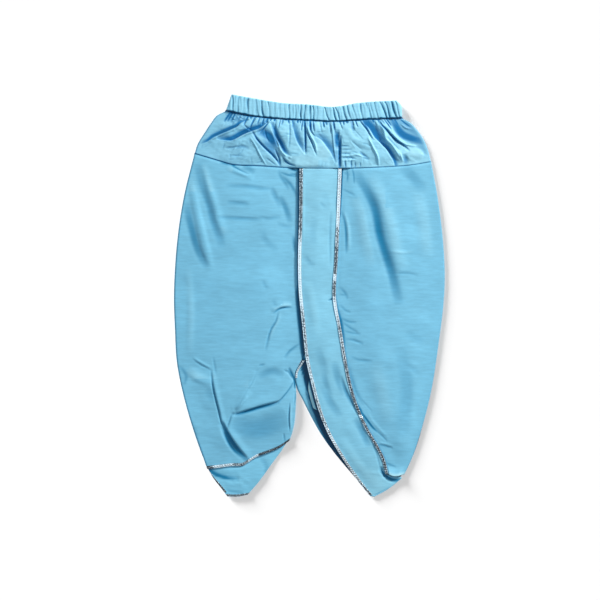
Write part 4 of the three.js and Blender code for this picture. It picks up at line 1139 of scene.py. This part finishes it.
def right_leg_front(u, v):
    u = denser_at_sides(u)
    x, y, z, painted_light_and_wear = leg_front(right_front_patch, RIGHT_FOLDS, u, v, 1 - u, 1, 31)
    from_drape = x - DRAPE_RIGHT.x_at_y(y) + 3
    curl = smooth(0.965, 1, v) * smooth(0, 5, from_drape) * smooth(0.02, 0.3, 1 - u)
    # A painted highlight on the curled hem.
    return x, y, z + HEM_CURL * curl, painted_light_and_wear - 0.9 * smooth(0.985, 1, v)


left_leg = sew("left_leg_front_cloth", "left_leg_front", 146, 300, left_leg_front, front_cloth)
right_leg = sew("right_leg_front_cloth", "right_leg_front", 140, 300, right_leg_front, front_cloth)

# %% [markdown]
# The backs of the legs and of the yoke lie flat on the table. They aren't seen in the photograph,
# except for the left tip and a strip at the crotch. Worn cloth is as creased behind as in front,
# so they get soft folds of their own, kept to about a millimetre because they carry the garment.

# %% Folds of the backs
TIP_FOLDS = [
    (-2.2, 4.6, 1.6, (-152, -234), (-139, -246), (-131, -251.5), (-121, -255), (-111, -257), (-98, -258)),
    (-1.6, 1.0, 1.0, (-20, -106), (-19.6, -115), (-18.6, -124), (-17, -132)),
    (0.9, 3.0, 2.0, (-124, -245), (-104, -245), (-84, -240)),
    (0.5, 1.4, 1.2, (-120, -248), (-104, -260), (-86, -272)),
    (0.45, 1.2, 1.2, (-104, -246), (-92, -256), (-74, -268)),
    (0.5, 2.6, 2.6, (-118, -262), (-104, -264), (-92, -262)),
    (-0.9, 1.6, 1.6, (-118, -272), (-106, -275), (-92, -276)),
    (-0.6, 3.0, 3.0, (-70, -226), (-60, -240), (-64, -252)),
]
BEHIND_FOLDS = [
    (-0.6, 8, 8, (-150, 160), (-130, 60), (-120, -40)), (-0.5, 6, 9, (-60, 170), (-80, 40), (-70, -90)),
    (-0.6, 9, 7, (60, 160), (90, 60), (100, -60)), (-0.5, 7, 7, (140, 150), (150, 20), (130, -120)),
    (0.5, 8, 8, (-110, 150), (-100, 20), (-110, -120)), (0.5, 9, 9, (120, 120), (124, 0), (100, -140)),
    (-0.5, 3, 6, (-130, -150), (-80, -170), (-40, -150)),
    (-0.5, 3, 6, (60, -150), (100, -170), (140, -150)),
]
print("folds behind:", len(TIP_FOLDS + BEHIND_FOLDS))

# %% The backs
BACK_LOW = 0.62  # lowest level of a back's upper face
BACK_REST, BACK_SPAN = 0.42, 1.1  # how far the flat cloth and the highest fold lie above that
YOKE_BACK_TOP = 1.7  # highest fold of the yoke's back
BACK_TIP = 0.86  # share of a leg back's length from which it no longer folds round to the front
TIP_LIFT = 1.7  # mm that the loose left tip curls up
BACK_SHADE, SHADE_SOFT = 9.4, 2.6  # width of the shadow painted below the crotch beside the drape, and of its soft end
left_back_patch = patch(
    part_of(HIP_SEAM, 0, back_split), LEFT_BACK_TIP, LEFT_BACK_OUTER, LEFT_BACK_INNER
)
right_back_patch = patch(
    part_of(HIP_SEAM, back_split, 1),
    Line(RIGHT_BACK_INNER(1.0), RIGHT_BACK_OUTER(1.0)),
    RIGHT_BACK_INNER,
    RIGHT_BACK_OUTER,
)


def flat_back(x, y, from_side, seed):
    relief, painted_light_and_wear = fold_heights(x, y, TIP_FOLDS + BEHIND_FOLDS)
    relief += waves(x, y, 9, 30, 80, 0.14, seed, 1.5)
    z = BACK_LOW + np.clip(BACK_REST + relief, 0.0, BACK_SPAN)
    return lerp(BACK_EDGE, z, rounded(from_side, SIDE_ROUND)), painted_light_and_wear


def leg_back(panel, u, v, outer, centre_side, seed):
    x, y = leg_point(panel, u, v, centre_side)
    from_side = np.where(v < BACK_TIP, outer * width_of(panel, u, v), SIDE_ROUND)
    z, painted_light_and_wear = flat_back(x, y, from_side, seed)
    from_drape = DRAPE_LEFT.x_at_y(y) - x
    # Painted shadow of the drape below the crotch.
    shade = smooth(BACK_SHADE, BACK_SHADE - SHADE_SOFT, from_drape) * smooth(-84, -92, y)
    return x, y, z, np.maximum(painted_light_and_wear, 2 * shade)


def tip_lift(y):
    return TIP_LIFT * smooth(-214, -262, y)


def left_leg_back(u, v):
    x, y, z, painted_light_and_wear = leg_back(left_back_patch, u, v, u, -1, 41)
    return x, y, z + tip_lift(y), painted_light_and_wear


def right_leg_back(u, v):
    return leg_back(right_back_patch, u, v, 1 - u, 1, 43)


def yoke_back(u, v):
    x, y = yoke_patch(u, v)
    gathers, painted_light_and_wear = fold_heights(x, y, GATHERS)
    z, deep = flat_back(x, y, from_sides(yoke_patch, u, v, x), 45)
    z = np.clip(z + 0.4 * gathers, BACK_LOW, YOKE_BACK_TOP)
    return x, y - GAP * (1 - v) + GAP / 2 * v, z, np.maximum(deep, painted_light_and_wear * 0.6)


left_back = sew("left_leg_back_cloth", "left_leg_back", 60, 150, left_leg_back, back_cloth)
right_back = sew("right_leg_back_cloth", "right_leg_back", 66, 160, right_leg_back, back_cloth)
yoke_behind = sew("yoke_back_cloth", "yoke_back", 200, 34, yoke_back, back_cloth)

# %% [markdown]
# The front drape is the long pleated panel of a dhoti, sewn into the hip seam and left loose below.
# It lies on the legs and on its own inner pleat, and its left edge lifts below the crotch, where it
# casts a shadow and the gap under it is also painted dark as a painted shadow. Its levels are those of
# the imported solid.

# %% Folds of the drape
DRAPE_FOLDS = [
    (-0.5, 1.4, 2.0, (30, 118), (29, 90), (29.4, 40)),
    (0.5, 2.0, 2.0, (-8, 172), (-8.6, 120), (-9, 70)),
    (-0.25, 5.0, 5.0, (8, 110), (4, 90), (6, 70)),
    (-0.35, 3.0, 4.0, (-6, 56), (0, 46), (8, 42)),
    (-0.2, 5.0, 5.0, (18, 144), (24, 130), (22, 116)),
    (-0.4, 2.6, 2.6, (14, 130), (18, 127), (22, 122)),
    (-1.7, 0.9, 1.2, (26, -7.6), (31, -5), (38, -2)),
    (-0.35, 5.0, 6.0, (10, -72), (18, -92), (22, -112)),
    (-0.5, 4.0, 5.0, (20, -104), (22, -120), (30, -142)),
    (-1.2, 1.5, 4.0, (44, -112), (52, -134), (60, -149), (70, -164)),
    (-0.7, 6.0, 5.0, (34, -92), (40, -118), (50, -140)),
    (-0.6, 5.0, 6.0, (16, -120), (30, -150), (44, -170)),
    (-0.9, 4.0, 5.0, (64, -172), (74, -190), (84, -212)),
    (-0.6, 1.0, 1.6, (88, -208), (94.5, -222), (98, -236), (101, -246)),
    (-3.2, 1.4, 3.4, (100.5, -239), (103, -246.5), (108, -252.6), (115.5, -256.8), (122, -258),
     (131, -256)),
    (-0.9, 1.6, 2.6, (90, -281), (104, -274.6), (115, -267)),
    (0.6, 6.0, 6.0, (44, -200), (62, -226), (84, -256)),
    (0.5, 9.0, 9.0, (80, -244), (92, -262), (100, -274)),
    (0.6, 6.0, 6.0, (-2, 20), (6, -20), (12, -60)),
]
print("folds on the drape:", len(DRAPE_FOLDS))

# %% The drape
TOE_START = 0.885  # share of the right edge where the toe begins
TOE_FALL, TOE_SETTLED = 0.80, 0.97  # shares of the length between which the drape comes down
LOOSE_LIFT = 2.6  # how far the loose left edge lifts below the crotch
CROWN = 0.7  # how far the drape bows up along its middle
# The inner pleat: its share of the drape's width and length, how far it lies inside the drape's
# left edge, and how far it shows beyond that edge where it does.
PLEAT_INNER, PLEAT_LENGTH, PLEAT_INSET, PLEAT_SHOW = 0.4, 0.76, 4, 6.4
# Painted shade and highlight: the drape is painted a little darker half way down and paler at the toe.
DRAPE_SHARES = (0.0, 0.4, 0.6, 0.8, 0.9, 1.0)
DRAPE_PAINTED_SHADES = (-0.03, 0.05, 0.11, 0.16, -0.06, -0.12)
drape_ends = [HIP_SEAM.share_at_x(edge.xy[0, 0]) for edge in (DRAPE_LEFT, DRAPE_RIGHT)]
drape_patch = patch(
    part_of(HIP_SEAM, *drape_ends),
    Line(DRAPE_LEFT(1.0), DRAPE_TOE_RIGHT(1.0)),
    DRAPE_LEFT,
    joined(DRAPE_RIGHT, DRAPE_TOE_RIGHT, TOE_START),
)


def drape_point(u, v):
    x, y = drape_patch(u, v)
    return x, y - GAP / 2 * (1 - v)


def drape_level(u, v):
    on_pleat = FRONT_TOP + 2 * (GAP + CLOTH)
    on_front = FRONT_TOP + GAP + CLOTH
    level = lerp(on_pleat, on_front, smooth(PLEAT_INNER + 0.02, 0.95, u))
    along = smooth(0.6, 0.74, v) * smooth(0.97, 0.85, v)
    lift = LOOSE_LIFT * along * smooth(0.5, 0, u)
    crown = CROWN * np.sin(np.pi * u) * smooth(0, 0.05, v)
    return lerp(level + lift + crown, 2 * CLOTH + GAP, smooth(TOE_FALL, TOE_SETTLED, v))


def drape_front(u, v):
    x, y = drape_point(u, v)
    relief, painted_light_and_wear = fold_heights(x, y, DRAPE_FOLDS)
    relief += waves(x, y, 9, 20, 60, 0.22, 51, 0.8)
    inside = smooth(0, 0.14, u) * smooth(1, 0.86, u)
    clear = smooth(0, 0.05, u) * smooth(1, 0.98, u)
    shade = np.interp(v, DRAPE_SHARES, DRAPE_PAINTED_SHADES)
    z = np.maximum(drape_level(u, v) + relief * inside, CLOTH + 0.4)
    return x, y, z, painted_light_and_wear * clear + shade


def inner_pleat(u, v):
    x_edge, y_edge = drape_point(0 * u, v * PLEAT_LENGTH)
    x_inner, _ = drape_point(0 * u + PLEAT_INNER, v * PLEAT_LENGTH)
    shown = smooth(0.75, 0.86, v) * smooth(0.932, 0.922, v) + 0.28 * smooth(0.92, 0.94, v)
    outer = x_edge + PLEAT_INSET - (PLEAT_INSET + PLEAT_SHOW) * np.minimum(shown, 1)
    x = lerp(outer, x_inner, u)
    z = FRONT_TOP + GAP + CLOTH - 0.2 + 0 * u
    # Painted shadow on the pleat beside the drape, and a painted highlight on its outer border.
    out = x_edge - x
    return x, y_edge - GAP, z, 2 * smooth(2.8, 2.0, out) - smooth(2.6, 3.2, out)


drape = sew("front_drape_cloth", "front_drape", 52, 380, drape_front, drape_cloth)
pleat = sew("drape_inner_pleat_cloth", "drape_inner_pleat", 34, 160, inner_pleat, drape_cloth)

# %% [markdown]
# The tape is braided from foil thread: a chain of beads down the middle and a cord at each edge.
# An array of bead objects would be heavy, so the beads are a height on the tape's own fine grid.
# Between two beads the core shows, and that is written to the same attribute as the cloth's folds.

# %% How worn each tape is, and where dark reflection is painted on it
# Each row: share along the tape and how dark it is there. 0 is bright foil, 1 is as dark as the core.
# The rows are the ends of the stretches that are told apart along the tape. Between two rows
# the wear and the painted reflection change evenly.
# Dark stretches are partly worn foil and partly painted reflection, where foil reflects little light.
BRIGHT, PATCHY, DULL, WORN = 0.08, 0.35, 0.65, 0.88
LEFT_WEAR_AND_REFLECTION = [
    (0.0, WORN), (0.18, WORN), (0.23, BRIGHT), (0.39, BRIGHT), (0.42, DULL), (0.54, DULL),
    (0.6, PATCHY), (0.64, DULL), (0.75, DULL), (0.8, BRIGHT), (0.84, PATCHY), (0.92, PATCHY),
    (0.97, WORN), (1.0, WORN),
]
RIGHT_WEAR_AND_REFLECTION = [
    (0.0, BRIGHT), (0.03, PATCHY), (0.08, BRIGHT), (0.15, BRIGHT), (0.17, DULL), (0.2, DULL),
    (0.23, WORN), (0.295, WORN), (0.3, BRIGHT), (0.31, BRIGHT), (0.32, WORN), (0.35, WORN),
    (0.38, BRIGHT), (0.4, BRIGHT), (0.44, DULL), (0.53, DULL), (0.57, WORN), (0.7, WORN),
    (0.702, BRIGHT), (0.707, BRIGHT), (0.712, WORN), (1.0, WORN),
]
HEM_WEAR_AND_REFLECTION = [
    (0.0, 0.95), (0.06, 0.85), (0.09, 0.2), (0.27, 0.25), (0.3, 0.6), (0.46, 0.8), (0.5, 0.0),
    (0.58, 0.0), (0.62, 0.9), (1.0, 0.95),
]
print("rows of wear and painted reflection:", len(LEFT_WEAR_AND_REFLECTION) + len(RIGHT_WEAR_AND_REFLECTION) + len(HEM_WEAR_AND_REFLECTION))

# %% The tapes of the drape
BEAD = 3.6  # length of one bead
TWIST = 1.8  # length of one turn of the cords at the edges
BEAD_HIGH, CORD_HIGH = 0.55, 0.4
TAPE_WIDE = 4.9
TAPE_RISE = 0.75  # height of the tape's ground above the level it is sewn to


def wear(rows, share):
    return np.interp(share, [row[0] for row in rows], [row[1] for row in rows])


def beads(across, along):
    chain = np.abs(np.sin(np.pi * along / BEAD)) ** 0.7
    loop = np.exp(-(((across - 0.5) / 0.3) ** 2))
    cord = np.exp(-(((np.abs(across - 0.5) - 0.4) / 0.09) ** 2))
    twist = 0.75 + 0.25 * np.sin(math.tau * along / TWIST + 3 * across)
    return BEAD_HIGH * chain * loop + CORD_HIGH * cord * twist, (1 - chain**2) * loop


def drape_tape(right_edge, last, length, worn):
    def place(u, v):
        share = v * last
        x_left, y_left = drape_point(0 * u, share)
        x_right, y_right = drape_point(0 * u + 1, share)
        span = np.minimum(TAPE_WIDE / np.hypot(x_right - x_left, y_right - y_left), 0.5)
        across = 1 - span * (1 - u) if right_edge else span * u
        x, y = drape_point(across, share)
        height, gaps = beads(u, share * length)
        z = drape_level(across, share) + TAPE_RISE + height
        amount = wear(worn, share)
        middle = np.exp(-(((u - 0.5) / 0.27) ** 2))
        # Worn foil and painted dark reflection, darker along the middle of the tape.
        worn_and_painted_dark = amount * (0.62 + 0.45 * middle)
        return x, y, z, np.maximum(gaps * (0.25 + 0.75 * amount), worn_and_painted_dark)

    return place


def sew_tape(stands_for, columns, rows, place):
    return sew(
        stands_for + "_braid", stands_for, columns, rows, place, silver, TAPE_SHELL
    )


on_left_edge = drape_tape(False, 0.994, DRAPE_LEFT.length, LEFT_WEAR_AND_REFLECTION)
on_right_edge = drape_tape(True, TOE_START * 1.002, DRAPE_RIGHT.length / TOE_START, RIGHT_WEAR_AND_REFLECTION)
tape_left = sew_tape("drape_tape_left", 9, 1150, on_left_edge)
tape_right = sew_tape("drape_tape_right", 9, 1020, on_right_edge)

# %% The tapes of the hems and the crotch
HEM_TAPE, EDGE_TAPE, CROTCH_TAPE = 4.4, 3.4, 2.8  # widths that show
CROTCH_IN = 1.6  # how far the crotch's tape lies inside the edge
FRONT_LONG, BACK_LONG = 440, 500  # length of a leg front and back, which turn a width into a share
BACK_TAPE = CLOTH + GAP + 0.4  # level of a tape on a back


def left_hem_tape(u, v):
    share = 1 - HEM_TAPE / FRONT_LONG * (1 - v)
    x, y, z, _ = leg_front(left_front_patch, LEFT_FOLDS, u, share, u, -1, 21)
    height, gaps = beads(v, u * LEFT_FRONT_HEM.length)
    z = np.maximum(z, FRONT_TOP - 0.6) + TAPE_RISE + height
    return x, y, z, np.maximum(0.5 * gaps, wear(HEM_WEAR_AND_REFLECTION, u))


def left_tip_tape(u, v):
    x, y = left_back_patch(u, 1 - HEM_TAPE / BACK_LONG * (1 - v))
    height, gaps = beads(v, u * LEFT_BACK_TIP.length)
    return x - CENTRE_GAP / 2, y, BACK_TAPE + tip_lift(y) + height, 0.75 + gaps * 0.2


def left_edge_tape(u, v):
    x, y = left_back_patch(0 * u, lerp(0.908, 0.985, v))
    height, _ = beads(u, v * 40)
    x = x - CENTRE_GAP / 2 + u * (EDGE_TAPE * smooth(-0.2, 0.8, v))
    # Painted shadow: this strip turns over the edge, away from the light, and is painted almost
    # core-dark.
    return x, y, BACK_TAPE + tip_lift(y) + height, 0.95 + 0 * u


def crotch_tape(u, v):
    x, y = right_back_patch(0 * u, lerp(0.545, 0.6, v))
    height, gaps = beads(u, v * 30)
    x = x + CENTRE_GAP / 2 + CROTCH_IN + CROTCH_TAPE * u
    return x, y, BACK_TAPE + height, 0.15 + gaps * 0.6


hem_tape = sew_tape("left_hem_tape", 330, 9, left_hem_tape)
tip_tape = sew_tape("left_tip_tape", 80, 9, left_tip_tape)
edge_tape = sew_tape("left_edge_tape", 6, 110, left_edge_tape)
crotch = sew_tape("crotch_tape", 9, 80, crotch_tape)

# %% [markdown]
# Each sheet's size, as it was cut, is printed, so that anyone who reuses the part knows how
# much cloth is in it.

# %% What each sheet was cut from
def cut(piece, width, length):
    print(piece.name, "cut from", width, "by", length, "m")


cut(band, 0.29, 0.052)
cut(band_back, 0.29, 0.052)
cut(yoke, 0.36, 0.078)
cut(yoke_behind, 0.34, 0.075)
cut(left_leg, 0.205, 0.46)
cut(right_leg, 0.19, 0.46)
cut(left_back, 0.195, 0.49)
cut(right_back, 0.20, 0.49)
cut(drape, 0.075, 0.50)
cut(pleat, 0.029, 0.38)

# %% [markdown]
# The photograph was taken from straight above on white. The cloth is lit from the upper right, low
# enough to draw every crease, while the floor shows only a faint soft shadow to the lower right, as
# product pictures do. One light can't give both, so the lights are linked: two soft boxes shine on
# the garment alone, and two suns shine on the floor alone, one from straight above and one low
# from the upper left.

# %% The floor and the lights
FLOOR_SIZE = 40  # large enough that a view from the side sees no end to it
FLOOR_DROP = 0.0002  # metres below the cloth, so that the two don't share a level
floor_mesh = bpy.data.meshes.new("floor")
plate = bmesh.new()
bmesh.ops.create_grid(plate, x_segments=1, y_segments=1, size=FLOOR_SIZE)
bmesh.ops.translate(plate, verts=plate.verts, vec=(0, 0, -FLOOR_DROP))
plate.to_mesh(floor_mesh)
plate.free()
floor = bpy.data.objects.new("floor", floor_mesh)
ground = new_collection("ground")
ground.objects.link(floor)

floor_material, card, card_shader = new_material("white_card")
card_place = {"Vector": (node(card, "ShaderNodeTexCoord"), "Object")}
card_noise = node(card, "ShaderNodeTexNoise", "card", {"Scale": 6.0}, card_place)
card_tone = node(
    card, "ShaderNodeMix", "card tone", {"A": (0.90, 0.90, 0.90, 1), "B": (0.92, 0.92, 0.92, 1)},
    {"Factor": (card_noise, "Fac")}, data_type="RGBA",
)
fill(
    card, card_shader, {"Roughness": 0.9, "Specular IOR Level": 0.0},
    {"Base Color": (card_tone, "Result")},
)
floor_mesh.materials.append(floor_material)


def light(name, kind, receivers, **values):
    data = bpy.data.lights.new(name, kind)
    for key, value in values.items():
        setattr(data, key, value)
    made = bpy.data.objects.new(name, data)
    bpy.context.scene.collection.objects.link(made)
    made.light_linking.receiver_collection = receivers
    return made


def sun(name, azimuth, elevation, strength, softness):
    made = light(name, "SUN", ground, energy=strength, angle=math.radians(softness))
    made.rotation_euler = (0, math.radians(90 - elevation), math.radians(azimuth))
    print(name, "from", azimuth, "degrees at", elevation)


def soft_box(name, place, power, colour, size):
    made = light(name, "AREA", garment, shape="DISK", size=size, energy=power, color=colour)
    made.location = place
    made.rotation_euler = Vector(place).to_track_quat("Z", "Y").to_euler()
    made.visible_camera = False
    print(name, "at", place, "with", power, "W")


soft_box("key_on_cloth", (2.4, 2.3, 1.68), 200.0, (1.0, 0.93, 0.85), 0.72)
soft_box("fill_on_cloth", (-0.1, 0.1, 1.5), 7.5, (0.55, 0.84, 1.0), 1.5)
sun("wash_on_floor", 0, 90, 1.45, 5)
sun("low_on_floor", 134, 11, 8.0, 21)

world = bpy.data.worlds.new("studio")
bpy.context.scene.world = world
world.use_nodes = True
sky = world.node_tree.nodes["Background"]
fill(world.node_tree, sky, {"Color": (1.0, 1.0, 1.0, 1), "Strength": 0.19})
print("light from all round:", round(sky.inputs["Strength"].default_value, 2))

# %% [markdown]
# The camera looks straight down with a long lens, so that the flat garment isn't distorted.
# One pixel of the picture is 1.4 mm, which sets how wide the lens has to see.
# The Standard view transform keeps the white floor white and the blue as measured.

# %% The camera
MM_PER_PIXEL, PICTURE = 1.4, 600
GARMENT_AT = (309.2, 295.5)  # pixel where x and y are nothing
HIGH = 2.6  # metres above the floor
SENSOR = 36  # its width in mm
camera_data = bpy.data.cameras.new("camera")
camera = bpy.data.objects.new("camera", camera_data)
bpy.context.scene.collection.objects.link(camera)
camera.location = (
    (PICTURE / 2 - GARMENT_AT[0]) * MM_PER_PIXEL * MM,
    (GARMENT_AT[1] - PICTURE / 2) * MM_PER_PIXEL * MM,
    HIGH,
)
camera_data.sensor_width = SENSOR
camera_data.lens = SENSOR * (HIGH - FRONT_TOP * MM) / (PICTURE * MM_PER_PIXEL * MM)
bpy.context.scene.camera = camera
bpy.context.scene.view_settings.view_transform = "Standard"
print("lens:", round(camera_data.lens, 1), "mm")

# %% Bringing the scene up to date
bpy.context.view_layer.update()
